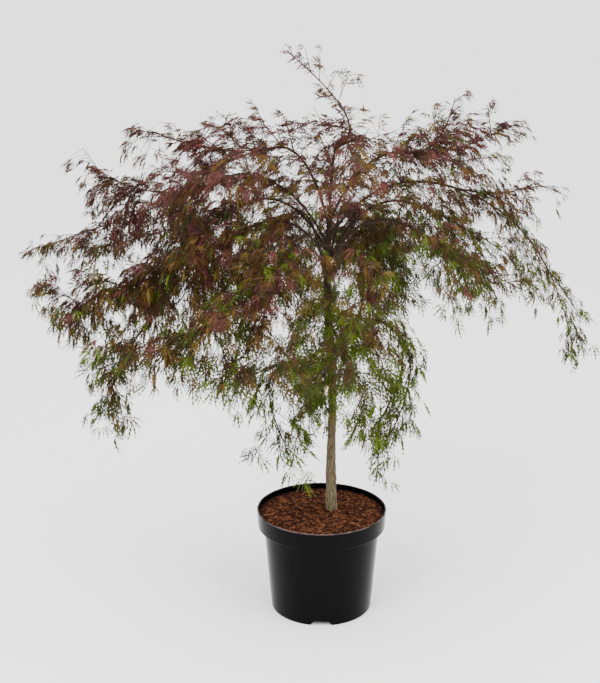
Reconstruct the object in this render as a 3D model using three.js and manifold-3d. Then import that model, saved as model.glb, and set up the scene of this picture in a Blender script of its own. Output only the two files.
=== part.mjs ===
// A weeping laceleaf maple grown as a small standard in a round nursery pot: the pot, the compost that
// fills it, the trunk, the boughs that arch out of it, and the hanging masses of foliage.
// Millimetres, +Z up. The origin is the centre of the pot's flat underside, and -Y is the front.
import * as THREE from 'three';
import { mergeVertices } from 'three/addons/utils/BufferGeometryUtils.js';
import Module from 'manifold-3d';

const wasm = await Module();
wasm.setup();

// ---- driving dimensions ----

const GAP = 0.3; // clearance wherever two pieces meet
const SPACE = 0.8; // the least distance between foliage and anything else

const POT = {
  height: 226, // underside to lip
  lipRadius: 140,
  baseRadius: 109.5,
  wall: 2.5,
  bandHeight: 41, // the wide band under the lip
  bandStep: 13, // how far the band stands out of the wall below it
  bandTaper: 2.5, // the band narrows by this much towards its foot
  sides: 32,
};
// drainage channels let into the underside from its edge, wider at the foot than at the roof, each with
// a round hole through its roof
const CHANNEL = {
  count: 4, roofWidth: 32, footWidth: 45, height: 9, depth: 34, firstAngle: -91, overrun: 15,
};
const DRAIN = { radius: 5, inset: 12, sides: 12 };
const COMPOST_TOP = 211;

const TRUNK = {
  sides: 8,
  // x, y and height of the points that the trunk's centre line runs through
  line: [[22, 10, 211.3], [20, 10, 330], [22, 12, 470], [16, 14, 610], [9, 12, 750], [14, 10, 878]],
  // radius from the root flare to the tip, at equal steps of length
  radii: [12.8, 11, 10, 8.9, 8.4, 8.3, 8, 7.8, 7.4, 6.8, 6.2, 5.4, 4.4],
};
const BOUGH = { sides: 5, steps: 5, footRadius: 4.0, tipRadius: 2.6, bend: 0.38 };
const STEM = { sides: 4, steps: 5, footRadius: 2.3, tipRadius: 1.5, pitch: 5.4, lead: 0.5 };
const TWIG = { sides: 3, steps: 1, footRadius: 1.2, tipRadius: 1.2, turn: [35, 80], shortest: 0.65 };
// where a stem carries twigs and leaves, as shares of its length, and how much of the step from one node
// to the next chance may move a node by
const NODE = { first: 0.08, last: 0.9, spacing: 118, jitter: 0.5 };
const LEAF = {
  length: 88, thickness: 3,
  stalk: 26, stalkWidth: 1.2, // the stalk starts at the middle of what carries it
  shoulder: 10, // from the stalk's end to the middle of the blade
  look: 0.6, // how far up it faces, for each unit that it faces outwards
  yaw: 1.2, // how far it is turned away from that, either way
  swing: 0.8, // how far it follows its twig, for each unit that it hangs down
  smallest: 0.75, // the size of the smallest, as a share of the largest
  sway: 0.7, // how far it may be turned from where it would hang, either way
  lobes: [[0, 1], [46, 0.84]], // angle and length of the middle lobe and of the pair beside it
  notch: 0.42,
};
// where the leaves of a node sit: two as shares of its twig's length, two past the twig on the stem, and
// the last leaf of a mass as a share of its stem's length
const SEAT = { twigEnd: 0.94, twigMiddle: 0.4, beside: 0.02, beyond: 0.09, stemEnd: 0.985 };
const LEAVES_PER_NODE = 4;
const TRIES = 6; // how often a twig or leaf is turned another way before it is skipped
// what a number from the rule of chance is for; each try after the first adds one
const FOR = { place: 1, size: 10, sway: 20, yaw: 30, turn: 40, length: 50 };
const HASH = { mass: 12.9898, twig: 78.233, quantity: 37.719, stretch: 43758.5453 };
const WELD = 1e-4; // vertices closer than this are one
const HALVINGS = 30;

// Boughs: where each leaves the trunk, and the height, reach and azimuth of its tip. lift is how far
// its arch rises above the tip. Azimuths run from +X (0), by the back (90), to the left (180).
const BOUGHS = [
  { name: 'bough_top', foot: 866, azimuth: 60, reach: 12, height: 1005, lift: 0 },
  { name: 'bough_top_left', foot: 842, azimuth: 172, reach: 120, height: 1000, lift: 15 },
  { name: 'bough_top_right', foot: 848, azimuth: 8, reach: 150, height: 990, lift: 12 },
  { name: 'bough_left', foot: 800, azimuth: 180, reach: 235, height: 930, lift: 55 },
  { name: 'bough_left_front', foot: 770, azimuth: 212, reach: 230, height: 850, lift: 60 },
  { name: 'bough_left_back', foot: 785, azimuth: 146, reach: 230, height: 865, lift: 60 },
  { name: 'bough_front_left', foot: 735, azimuth: 244, reach: 210, height: 830, lift: 60 },
  { name: 'bough_front', foot: 700, azimuth: 283, reach: 190, height: 815, lift: 60 },
  { name: 'bough_right_front', foot: 755, azimuth: 322, reach: 205, height: 855, lift: 60 },
  { name: 'bough_right', foot: 815, azimuth: 358, reach: 235, height: 925, lift: 45 },
  { name: 'bough_right_back', foot: 760, azimuth: 38, reach: 230, height: 860, lift: 60 },
  { name: 'bough_back', foot: 720, azimuth: 78, reach: 225, height: 845, lift: 60 },
  { name: 'bough_back_left', foot: 690, azimuth: 112, reach: 225, height: 830, lift: 60 },
  { name: 'bough_low_left', foot: 483, azimuth: 184, reach: 88, height: 556, lift: 12 },
  { name: 'bough_low_right', foot: 560, azimuth: 345, reach: 95, height: 650, lift: 20 },
  { name: 'bough_low_front', foot: 600, azimuth: 262, reach: 80, height: 690, lift: 20 },
  { name: 'bough_low_back', foot: 585, azimuth: 95, reach: 90, height: 680, lift: 20 },
];

// Masses of foliage: the bough each hangs from, where its main stem ends, the length of its longest
// twigs, and how far they droop.
const MASSES = [
  { name: 'leader_shoot', bough: 'bough_top', azimuth: 172, reach: 95, height: 1190, spread: 70, droop: 0 },
  { name: 'cap_back', bough: 'bough_top', azimuth: 96, reach: 215, height: 1020, spread: 110, droop: 0.3 },
  { name: 'cap_front', bough: 'bough_top', azimuth: 276, reach: 220, height: 1005, spread: 110, droop: 0.3 },
  { name: 'cap_left', bough: 'bough_top_left', azimuth: 180, reach: 365, height: 1035, spread: 100, droop: 0.3 },
  { name: 'cap_left_front', bough: 'bough_top_left', azimuth: 222, reach: 310, height: 975, spread: 110, droop: 0.3 },
  { name: 'cap_left_back', bough: 'bough_top_left', azimuth: 134, reach: 310, height: 1035, spread: 110, droop: 0.3 },
  { name: 'upper_right_shoot', bough: 'bough_top_right', azimuth: 2, reach: 240, height: 1100, spread: 70, droop: 0 },
  { name: 'cap_right_front', bough: 'bough_top_right', azimuth: 324, reach: 290, height: 985, spread: 110, droop: 0.3 },
  { name: 'cap_right', bough: 'bough_top_right', azimuth: 354, reach: 335, height: 1045, spread: 100, droop: 0.3 },
  { name: 'cap_right_back', bough: 'bough_top_right', azimuth: 42, reach: 310, height: 1025, spread: 110, droop: 0.3 },
  { name: 'left_shoulder', bough: 'bough_left', azimuth: 171, reach: 500, height: 945, spread: 90, droop: 0.5 },
  { name: 'left_tip', bough: 'bough_left', azimuth: 183, reach: 612, height: 800, spread: 60, droop: 0.4 },
  { name: 'left_curtain', bough: 'bough_left_front', azimuth: 196, reach: 535, height: 715, spread: 90, droop: 0.5 },
  { name: 'left_front_curtain', bough: 'bough_left_front', azimuth: 214, reach: 515, height: 585, spread: 90, droop: 0.5 },
  { name: 'left_back_shoulder', bough: 'bough_left_back', azimuth: 164, reach: 545, height: 760, spread: 90, droop: 0.5 },
  { name: 'left_back_curtain', bough: 'bough_left_back', azimuth: 138, reach: 500, height: 660, spread: 90, droop: 0.5 },
  { name: 'front_left_shoulder', bough: 'bough_front_left', azimuth: 232, reach: 480, height: 690, spread: 90, droop: 0.5 },
  { name: 'front_left_curtain', bough: 'bough_front_left', azimuth: 250, reach: 430, height: 670, spread: 90, droop: 0.5 },
  { name: 'front_curtain', bough: 'bough_front', azimuth: 269, reach: 400, height: 675, spread: 90, droop: 0.5 },
  { name: 'front_right_curtain', bough: 'bough_front', azimuth: 280, reach: 360, height: 690, spread: 90, droop: 0.5 },
  { name: 'right_front_curtain', bough: 'bough_right_front', azimuth: 311, reach: 370, height: 780, spread: 90, droop: 0.5 },
  { name: 'right_front_shoulder', bough: 'bough_right_front', azimuth: 335, reach: 400, height: 750, spread: 90, droop: 0.5 },
  { name: 'right_tip', bough: 'bough_right', azimuth: 358, reach: 490, height: 620, spread: 70, droop: 0.5 },
  { name: 'right_shoulder', bough: 'bough_right', azimuth: 12, reach: 430, height: 915, spread: 90, droop: 0.5 },
  { name: 'right_back_shoulder', bough: 'bough_right_back', azimuth: 27, reach: 470, height: 720, spread: 90, droop: 0.5 },
  { name: 'right_back_curtain', bough: 'bough_right_back', azimuth: 50, reach: 460, height: 680, spread: 90, droop: 0.5 },
  { name: 'back_right_curtain', bough: 'bough_back', azimuth: 70, reach: 450, height: 660, spread: 90, droop: 0.5 },
  { name: 'back_curtain', bough: 'bough_back', azimuth: 88, reach: 460, height: 650, spread: 90, droop: 0.5 },
  { name: 'back_left_curtain', bough: 'bough_back_left', azimuth: 104, reach: 460, height: 650, spread: 90, droop: 0.5 },
  { name: 'back_left_shoulder', bough: 'bough_back_left', azimuth: 121, reach: 480, height: 660, spread: 90, droop: 0.5 },
  { name: 'low_left_inner', bough: 'bough_low_left', azimuth: 224, reach: 135, height: 400, spread: 70, droop: 0.6 },
  { name: 'low_left_outer', bough: 'bough_low_left', azimuth: 184, reach: 195, height: 510, spread: 80, droop: 0.6 },
  { name: 'low_right_inner', bough: 'bough_low_right', azimuth: 318, reach: 115, height: 355, spread: 55, droop: 0.6 },
  { name: 'low_right_outer', bough: 'bough_low_right', azimuth: 335, reach: 105, height: 430, spread: 55, droop: 0.6 },
  { name: 'low_front_left', bough: 'bough_low_front', azimuth: 258, reach: 150, height: 520, spread: 80, droop: 0.6 },
  { name: 'low_front_right', bough: 'bough_low_front', azimuth: 292, reach: 170, height: 545, spread: 80, droop: 0.6 },
  { name: 'low_back_left', bough: 'bough_low_back', azimuth: 122, reach: 200, height: 510, spread: 80, droop: 0.6 },
  { name: 'low_back_right', bough: 'bough_low_back', azimuth: 62, reach: 190, height: 500, spread: 80, droop: 0.6 },
];

const FINISHES = {
  pot: { color: '#141517', roughness: 0.28, metalness: 0 },
  compost: { color: '#4a2a1a', roughness: 1, metalness: 0 },
  bark: { color: '#6f6355', roughness: 0.9, metalness: 0 },
  leaf_burgundy: { color: '#5f3137', roughness: 0.6, metalness: 0 },
  leaf_bronze: { color: '#5b4a31', roughness: 0.6, metalness: 0 },
  leaf_green: { color: '#56702f', roughness: 0.6, metalness: 0 },
};
// the leaves are burgundy where the sun reaches them, bronze further down, and green in the shade
const TINT_HEIGHTS = { leaf_burgundy: 850, leaf_bronze: 560 };

// ---- tools ----

const UP = new THREE.Vector3(0, 0, 1);
const { degToRad, lerp, mapLinear } = THREE.MathUtils;

// A closed three.js geometry as a manifold-3d solid.
function solidOf(geometry) {
  const bare = new THREE.BufferGeometry();
  bare.setAttribute('position', geometry.getAttribute('position'));
  bare.setIndex(geometry.index);
  const merged = mergeVertices(bare, WELD);
  return new wasm.Manifold(new wasm.Mesh({
    numProp: 3,
    vertProperties: new Float32Array(merged.attributes.position.array),
    triVerts: new Uint32Array(merged.index.array),
  }));
}

// A manifold-3d solid as a three.js geometry.
function geometryOf(solid) {
  const mesh = solid.getMesh();
  const geometry = new THREE.BufferGeometry();
  geometry.setAttribute('position', new THREE.BufferAttribute(mesh.vertProperties, 3));
  geometry.setIndex(new THREE.BufferAttribute(mesh.triVerts, 1));
  geometry.computeVertexNormals();
  return geometry;
}

// The largest body of a solid, so that no loose scrap is kept.
function largestBody(solid) {
  return solid.decompose().reduce((best, body) => (body.volume() > best.volume() ? body : best));
}

// A solid turned about Z from pairs of radius and height, which run from axis to axis.
function turned(outline) {
  const profile = outline.map(([radius, height]) => new THREE.Vector2(radius, height));
  return solidOf(new THREE.LatheGeometry(profile, POT.sides).rotateX(Math.PI / 2));
}

// The vertical line over the trunk's foot, which reaches and azimuths are measured from.
const [POLE_X, POLE_Y] = TRUNK.line[0];

function polar({ azimuth, reach, height }) {
  const angle = degToRad(azimuth);
  return new THREE.Vector3(POLE_X + reach * Math.cos(angle), POLE_Y + reach * Math.sin(angle), height);
}

// A number from 0 to 1 that depends only on which mass, which twig and which quantity it is for.
function chance(mass, twig, quantity) {
  const angle = mass * HASH.mass + twig * HASH.twig + quantity * HASH.quantity;
  const x = Math.sin(angle) * HASH.stretch;
  return x - Math.floor(x);
}

// A round limb: a lathe with one ring of vertices for each radius, bent along the path.
function limb(path, radii, sides) {
  const last = radii.length - 1;
  const profile = [[0, 0], ...radii.map((radius, ring) => [radius, ring]), [0, last]];
  const geometry = new THREE.LatheGeometry(profile.map(([x, y]) => new THREE.Vector2(x, y)), sides);
  const { normals, binormals } = path.computeFrenetFrames(last);
  const position = geometry.getAttribute('position');
  const point = new THREE.Vector3();
  for (let i = 0; i < position.count; i++) {
    const ring = Math.round(position.getY(i));
    point.copy(path.getPointAt(ring / last));
    point.addScaledVector(normals[ring], position.getX(i));
    point.addScaledVector(binormals[ring], -position.getZ(i));
    position.setXYZ(i, point.x, point.y, point.z);
  }
  return solidOf(geometry);
}

// A limb whose radius falls evenly from foot to tip, grown all round by an allowance.
function taperedLimb(path, { footRadius, tipRadius, steps, sides }, allowance = 0) {
  const radii = Array.from({ length: steps + 1 }, (_, i) => lerp(footRadius, tipRadius, i / steps) + allowance);
  return limb(path, radii, sides);
}

// Whether a piece keeps its distance from every solid in a list.
function isClear(piece, others) {
  const own = piece.boundingBox();
  return others.every((other) => {
    const box = other.boundingBox();
    const isApart = [0, 1, 2].some((k) => own.min[k] > box.max[k] + SPACE || own.max[k] < box.min[k] - SPACE);
    return isApart || piece.minGap(other, 2 * SPACE) >= SPACE;
  });
}

// ---- the pot and its compost ----

const bandFoot = POT.height - POT.bandHeight;
const bandFootRadius = POT.lipRadius - POT.bandTaper;
const bodyTopRadius = bandFootRadius - POT.bandStep;

const outerOutline = [
  [0, 0], [POT.baseRadius, 0], [bodyTopRadius, bandFoot], [bandFootRadius, bandFoot + POT.wall],
  [POT.lipRadius, POT.height], [0, POT.height],
];

// The hollow inside the pot, up to a height: the outer outline drawn in by the wall and a clearance.
function hollowOutline(clearance, top) {
  const inset = POT.wall + clearance;
  const shelf = bandFoot + POT.wall + inset;
  const topRadius = mapLinear(top, bandFoot, POT.height, bandFootRadius, POT.lipRadius) - inset;
  return [
    [0, inset], [POT.baseRadius - inset, inset], [bodyTopRadius - inset, shelf - POT.wall],
    [bandFootRadius - inset, shelf], [topRadius, top], [0, top],
  ];
}

// The same piece at each drainage channel.
function atChannels(piece) {
  const { count, firstAngle } = CHANNEL;
  return wasm.Manifold.union(Array.from({ length: count }, (_, i) => (
    piece.rotate([0, 0, firstAngle + (i * 360) / count]))));
}

function channels(allowance) {
  const { roofWidth, footWidth, height, depth, overrun } = CHANNEL;
  const rise = height + allowance;
  const foot = footWidth / 2 + allowance;
  const roof = mapLinear(rise, 0, height, footWidth, roofWidth) / 2 + allowance;
  const section = [[-foot, 0], [-foot, -overrun], [foot, -overrun], [foot, 0], [roof, rise], [-roof, rise]];
  const block = new THREE.ExtrudeGeometry(
    new THREE.Shape(section.map(([across, up]) => new THREE.Vector2(across, up))),
    { depth: depth + overrun + 2 * allowance, bevelEnabled: false });
  // the section's height turns to Z, and its length runs outwards along X
  block.rotateX(Math.PI / 2).rotateZ(Math.PI / 2).translate(POT.baseRadius - depth - allowance, 0, 0);
  return atChannels(solidOf(block));
}

function drains() {
  const hole = new THREE.CylinderGeometry(DRAIN.radius, DRAIN.radius, POT.bandHeight, DRAIN.sides);
  hole.rotateX(Math.PI / 2).translate(POT.baseRadius - CHANNEL.depth + DRAIN.inset, 0, 0);
  return atChannels(solidOf(hole));
}

function makePot() {
  const hollow = turned(hollowOutline(0, POT.height + POT.wall)).subtract(channels(POT.wall));
  return turned(outerOutline).subtract(hollow).subtract(channels(0)).subtract(drains());
}

function makeCompost() {
  return turned(hollowOutline(GAP, COMPOST_TOP)).subtract(channels(POT.wall + GAP));
}

// ---- the trunk and its boughs ----

const trunkLine = new THREE.CatmullRomCurve3(TRUNK.line.map((point) => new THREE.Vector3(...point)));

function makeTrunk(allowance = 0) {
  const solid = limb(trunkLine, TRUNK.radii.map((radius) => radius + allowance), TRUNK.sides);
  return solid.trimByPlane([0, 0, 1], COMPOST_TOP + GAP - allowance);
}

// The point of the trunk's centre line at a height, found by halving.
function trunkAt(height) {
  let [low, high] = [0, 1];
  for (let i = 0; i < HALVINGS; i++) {
    const middle = (low + high) / 2;
    if (trunkLine.getPointAt(middle).z < height) low = middle;
    else high = middle;
  }
  return trunkLine.getPointAt(low);
}

// A bough leaves the trunk steeply and arches over to its tip.
function boughLine({ foot, azimuth, reach, height, lift }) {
  const start = trunkAt(foot);
  const tip = polar({ azimuth, reach, height });
  const crown = start.clone().lerp(tip, BOUGH.bend).setZ(height + lift);
  return new THREE.QuadraticBezierCurve3(start, crown, tip);
}

const bodies = { pot: makePot(), compost: makeCompost(), trunk: makeTrunk() };
const boughLines = {};
const cutters = [makeTrunk(GAP)]; // the limbs made so far, grown by the gap that the next bough keeps
for (const bough of BOUGHS) {
  const line = boughLine(bough);
  const cut = cutters.reduce((rest, cutter) => rest.subtract(cutter), taperedLimb(line, BOUGH));
  bodies[bough.name] = largestBody(cut);
  cutters.push(taperedLimb(line, BOUGH, GAP));
  boughLines[bough.name] = line;
}

// ---- the foliage ----

// The main stem of a mass: it leaves its bough's tip beside its neighbours and bends over to its end.
function stemLine(mass) {
  const bough = boughLines[mass.bough];
  const along = bough.getTangentAt(1);
  const across = new THREE.Vector3().crossVectors(along, UP).normalize();
  const end = polar(mass);
  // the stems lie across the tip in the order in which they fan out
  const turnTo = (other) => polar(other).sub(bough.getPointAt(1)).setZ(0).normalize().dot(across);
  const sharing = MASSES.filter((other) => other.bough === mass.bough);
  const rank = sharing.filter((other) => turnTo(other) < turnTo(mass)).length;
  const start = bough.getPointAt(1).addScaledVector(along, GAP);
  start.addScaledVector(across, (rank - (sharing.length - 1) / 2) * STEM.pitch);
  const lead = start.clone().addScaledVector(along, start.distanceTo(end) * STEM.lead);
  return new THREE.QuadraticBezierCurve3(start, lead, end);
}

const stemLines = MASSES.map(stemLine);

// Points along the outer part of each stem, which share the crown out between the masses.
const MARKS = { count: 12, skipped: 3 };
const SHARE = 30; // how far a mass may reach past the halfway line to its neighbour
const stemMarks = stemLines.map((line) => line.getSpacedPoints(MARKS.count).slice(MARKS.skipped));

function isInOwnSpace(point, massIndex) {
  const nearest = (marks) => Math.min(...marks.map((mark) => mark.distanceTo(point)));
  const own = nearest(stemMarks[massIndex]) - SHARE;
  return stemMarks.every((marks, other) => other === massIndex || nearest(marks) > own);
}

// The middle of a limb, whose stretches between rings of vertices are straight.
function middleOf(line, steps, at) {
  const ring = Math.min(Math.floor(at * steps), steps - 1);
  return line.getPointAt(ring / steps).lerp(line.getPointAt((ring + 1) / steps), at * steps - ring);
}

// A twig leaves its stem to one side, in the crown's face, and hangs lower towards its end.
function twigLine(mass, stem, at, turn, length) {
  const foot = middleOf(stem, STEM.steps, at);
  const heading = stem.getTangentAt(at);
  const face = new THREE.Vector3().crossVectors(heading, new THREE.Vector3().crossVectors(UP, heading));
  const out = heading.applyAxisAngle(face.normalize(), turn).addScaledVector(UP, -mass.droop).normalize();
  return new THREE.LineCurve3(foot, foot.clone().addScaledVector(out, length));
}

// A leaf along +X with its stalk's foot at the origin. The blade is a flat double pyramid on a lobed
// outline, which runs from the right side of the stalk's end round the lobes to the left side.
function leafGeometry() {
  const { length, thickness, stalk, stalkWidth, shoulder, lobes, notch } = LEAF;
  const half = lobes.flatMap(([angle, reach], i) => {
    const next = lobes[i + 1];
    return next ? [[angle, reach], [(angle + next[0]) / 2, notch]] : [[angle, reach]];
  });
  const lobed = [...half.slice(1).reverse().map(([angle, reach]) => [-angle, reach]), ...half];
  const centre = stalk + shoulder;
  const side = stalkWidth / 2;
  const outline = [
    [stalk, -side, 0],
    ...lobed.map(([angle, reach]) => [
      centre + length * reach * Math.cos(degToRad(angle)), length * reach * Math.sin(degToRad(angle)), 0]),
    [stalk, side, 0],
  ];
  const left = outline.length - 1; // the right side of the stalk's end is point 0
  const [top, bottom, keel, footRight, footLeft, footKeel] = [1, 2, 3, 4, 5, 6].map((i) => left + i);
  const vertices = [
    ...outline, [centre, 0, thickness / 2], [centre, 0, -thickness / 2], [stalk, 0, -side],
    [0, -side, 0], [0, side, 0], [0, 0, -side],
  ];
  const blade = outline.slice(1).flatMap((_, i) => [i, i + 1, top, i + 1, i, bottom]);
  const quad = (a, b, c, d) => [a, b, c, a, c, d];
  const geometry = new THREE.BufferGeometry();
  geometry.setAttribute('position', new THREE.Float32BufferAttribute(vertices.flat(), 3));
  geometry.setIndex([
    ...blade, left, 0, top, 0, keel, bottom, keel, left, bottom,
    ...quad(0, left, footLeft, footRight), ...quad(keel, 0, footRight, footKeel),
    ...quad(left, keel, footKeel, footLeft), footRight, footLeft, footKeel,
  ]);
  return geometry;
}
const leafShape = leafGeometry();

// A leaf with its root in a twig: it hangs down, swung towards where the twig heads, and faces outwards.
function makeLeaf(twig, steps, at, size, turn, yaw) {
  const foot = middleOf(twig, steps, at);
  const face = foot.clone().sub(polar({ azimuth: 0, reach: 0, height: foot.z })).normalize();
  face.addScaledVector(UP, LEAF.look).normalize().applyAxisAngle(UP, yaw);
  const heading = twig.getTangentAt(at).applyAxisAngle(UP, turn).multiplyScalar(LEAF.swing);
  const along = heading.sub(UP).projectOnPlane(face).normalize();
  const place = new THREE.Matrix4().makeBasis(along, new THREE.Vector3().crossVectors(face, along), face);
  place.scale(new THREE.Vector3(size, size, size)).setPosition(foot);
  const middle = foot.addScaledVector(along, (LEAF.stalk + LEAF.length / 2) * size);
  return { middle, solid: solidOf(leafShape.clone().applyMatrix4(place)) };
}

// One mass: its stem, and at each node a twig with two leaves on one side and a leaf on the other.
function makeMass(mass, massIndex, others) {
  const stem = stemLines[massIndex];
  const stemSolid = taperedLimb(stem, STEM);
  const twigs = [];
  const leaves = [];
  const count = Math.round(stem.getLength() / NODE.spacing);
  // the first of a few tries that keeps to the mass's own space and clear of everything in it
  const addLeaf = (line, steps, at, turn, carrier, key) => {
    const inTheWay = [...others, ...leaves, ...[stemSolid, ...twigs].filter((piece) => piece !== carrier)];
    for (let go = 0; go < TRIES; go++) {
      const size = lerp(1, LEAF.smallest, chance(massIndex, key, FOR.size + go));
      const sway = lerp(-LEAF.sway, LEAF.sway, chance(massIndex, key, FOR.sway + go));
      const yaw = lerp(-LEAF.yaw, LEAF.yaw, chance(massIndex, key, FOR.yaw + go));
      const leaf = makeLeaf(line, steps, at, size, turn + sway, yaw);
      if (!isInOwnSpace(leaf.middle, massIndex) || !isClear(leaf.solid, inTheWay)) continue;
      leaves.push(leaf.solid);
      return;
    }
  };
  for (let node = 0; node < count; node++) {
    const jitter = NODE.jitter * chance(massIndex, node, FOR.place);
    const at = lerp(NODE.first, NODE.last, (node + jitter) / (count - NODE.jitter));
    const key = LEAVES_PER_NODE * node;
    const side = node % 2 ? -1 : 1;
    for (let go = 0; go < TRIES; go++) {
      const turn = side * degToRad(lerp(...TWIG.turn, chance(massIndex, node, FOR.turn + go)));
      const length = mass.spread * lerp(TWIG.shortest, 1, chance(massIndex, node, FOR.length + go));
      const line = twigLine(mass, stem, at, turn, length);
      const twig = taperedLimb(line, TWIG);
      if (!isClear(twig, others)) continue;
      twigs.push(twig);
      addLeaf(line, TWIG.steps, SEAT.twigEnd, 0, twig, key);
      addLeaf(line, TWIG.steps, SEAT.twigMiddle, side, twig, key + 1);
      break;
    }
    addLeaf(stem, STEM.steps, at + SEAT.beside, -side, stemSolid, key + 2);
    addLeaf(stem, STEM.steps, at + SEAT.beyond, side, stemSolid, key + 3);
  }
  addLeaf(stem, STEM.steps, SEAT.stemEnd, 0, stemSolid, LEAVES_PER_NODE * count);
  return largestBody(wasm.Manifold.union([stemSolid, ...twigs, ...leaves]));
}

const limbs = Object.values(bodies);
const stems = stemLines.map((line) => taperedLimb(line, STEM, GAP));
const grown = [];
MASSES.forEach((mass, massIndex) => {
  const solid = makeMass(mass, massIndex, [...limbs, ...stems.slice(massIndex + 1), ...grown]);
  grown.push(solid);
  bodies[mass.name] = solid;
});

// ---- the scene graph ----

function finishOf(name) {
  if (name === 'pot' || name === 'compost') return FINISHES[name];
  const mass = MASSES.find((other) => other.name === name);
  if (!mass) return FINISHES.bark;
  const tint = Object.keys(TINT_HEIGHTS).find((key) => mass.height > TINT_HEIGHTS[key]);
  return FINISHES[tint ?? 'leaf_green'];
}

const maple = new THREE.Group();
for (const [name, solid] of Object.entries(bodies)) {
  const mesh = new THREE.Mesh(geometryOf(solid), new THREE.MeshStandardMaterial(finishOf(name)));
  mesh.name = name;
  maple.add(mesh);
}

export default maple;
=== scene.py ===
"""A weeping laceleaf maple in a round nursery pot: smooth pot, loose compost, a trunk and boughs with
the relief of bark, and foliage that is carried on from the boughs to finer twigs and cut leaves.
Metres, +Z up. The origin is the centre of the pot's underside, and -Y is the front.
"""

import math

import bpy
import numpy as np
from bpy.props import FloatProperty, FloatVectorProperty, IntProperty, PointerProperty
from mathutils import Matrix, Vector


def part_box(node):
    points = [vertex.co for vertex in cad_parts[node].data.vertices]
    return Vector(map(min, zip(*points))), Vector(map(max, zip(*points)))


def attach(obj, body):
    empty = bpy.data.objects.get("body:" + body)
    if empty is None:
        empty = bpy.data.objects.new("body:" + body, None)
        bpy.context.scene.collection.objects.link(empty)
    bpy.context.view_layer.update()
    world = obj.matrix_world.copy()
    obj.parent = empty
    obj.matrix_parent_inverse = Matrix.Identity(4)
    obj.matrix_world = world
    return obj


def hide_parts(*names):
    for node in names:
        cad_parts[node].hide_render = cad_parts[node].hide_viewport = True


bl_info = {
    "name": "Potted Japanese Maple",
    "version": (1, 0, 0),
    "blender": (4, 5, 0),
    "location": "View3D > Sidebar > Maple",
    "description": "Dresses the frame of a potted weeping maple with bark, twigs, leaves and compost",
    "category": "Add Mesh",
}

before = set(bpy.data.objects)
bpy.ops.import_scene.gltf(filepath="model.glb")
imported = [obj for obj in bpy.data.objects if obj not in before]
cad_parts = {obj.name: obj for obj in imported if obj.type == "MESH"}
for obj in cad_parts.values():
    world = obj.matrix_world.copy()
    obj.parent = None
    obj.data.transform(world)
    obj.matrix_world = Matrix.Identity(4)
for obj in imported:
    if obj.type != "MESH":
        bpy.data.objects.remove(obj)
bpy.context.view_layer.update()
MM = 0.001
UP = np.array([0.0, 0.0, 1.0])
NUDGE = np.array([1e-6, 0, 0])  # keeps a sideways direction where a line is upright

# ---- the tree's own sizes, which the frame's solids were made from ----

TRUNK_LINE = np.array([  # points on its middle line
    [22, 10, 211.3], [20, 10, 330], [22, 12, 470], [16, 14, 610], [9, 12, 750], [14, 10, 878],
]) * MM
TRUNK_RADII = np.array([12.8, 11, 10, 8.9, 8.4, 8.3, 8, 7.8, 7.4, 6.8, 6.2, 5.4, 4.4]) * MM
POLE = np.array([22, 10, 0]) * MM  # azimuths and reaches are measured from the line over this point
BOUGH_BEND = 0.38  # where a bough's arch is pulled up, as a share of its reach
STEM_PITCH = 5.4 * MM  # between the stems that leave one bough
STEM_LEAD = 0.5  # how far a stem goes on as its bough points, as a share of its reach
TWIG_TURN = (35, 80)  # degrees from the stem
TWIG_SHORTEST = 0.65  # as a share of the longest

# Sizes in these two tables are in millimetres, and azimuths in degrees.
# name: height of its foot on the trunk, azimuth, reach and height of its tip, and the lift of its arch
BOUGHS = {
    "bough_top": (866, 60, 12, 1005, 0),
    "bough_top_left": (842, 172, 120, 1000, 15),
    "bough_top_right": (848, 8, 150, 990, 12),
    "bough_left": (800, 180, 235, 930, 55),
    "bough_left_front": (770, 212, 230, 850, 60),
    "bough_left_back": (785, 146, 230, 865, 60),
    "bough_front_left": (735, 244, 210, 830, 60),
    "bough_front": (700, 283, 190, 815, 60),
    "bough_right_front": (755, 322, 205, 855, 60),
    "bough_right": (815, 358, 235, 925, 45),
    "bough_right_back": (760, 38, 230, 860, 60),
    "bough_back": (720, 78, 225, 845, 60),
    "bough_back_left": (690, 112, 225, 830, 60),
    "bough_low_left": (483, 184, 88, 556, 12),
    "bough_low_right": (560, 345, 95, 650, 20),
    "bough_low_front": (600, 262, 80, 690, 20),
    "bough_low_back": (585, 95, 90, 680, 20),
}

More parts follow.
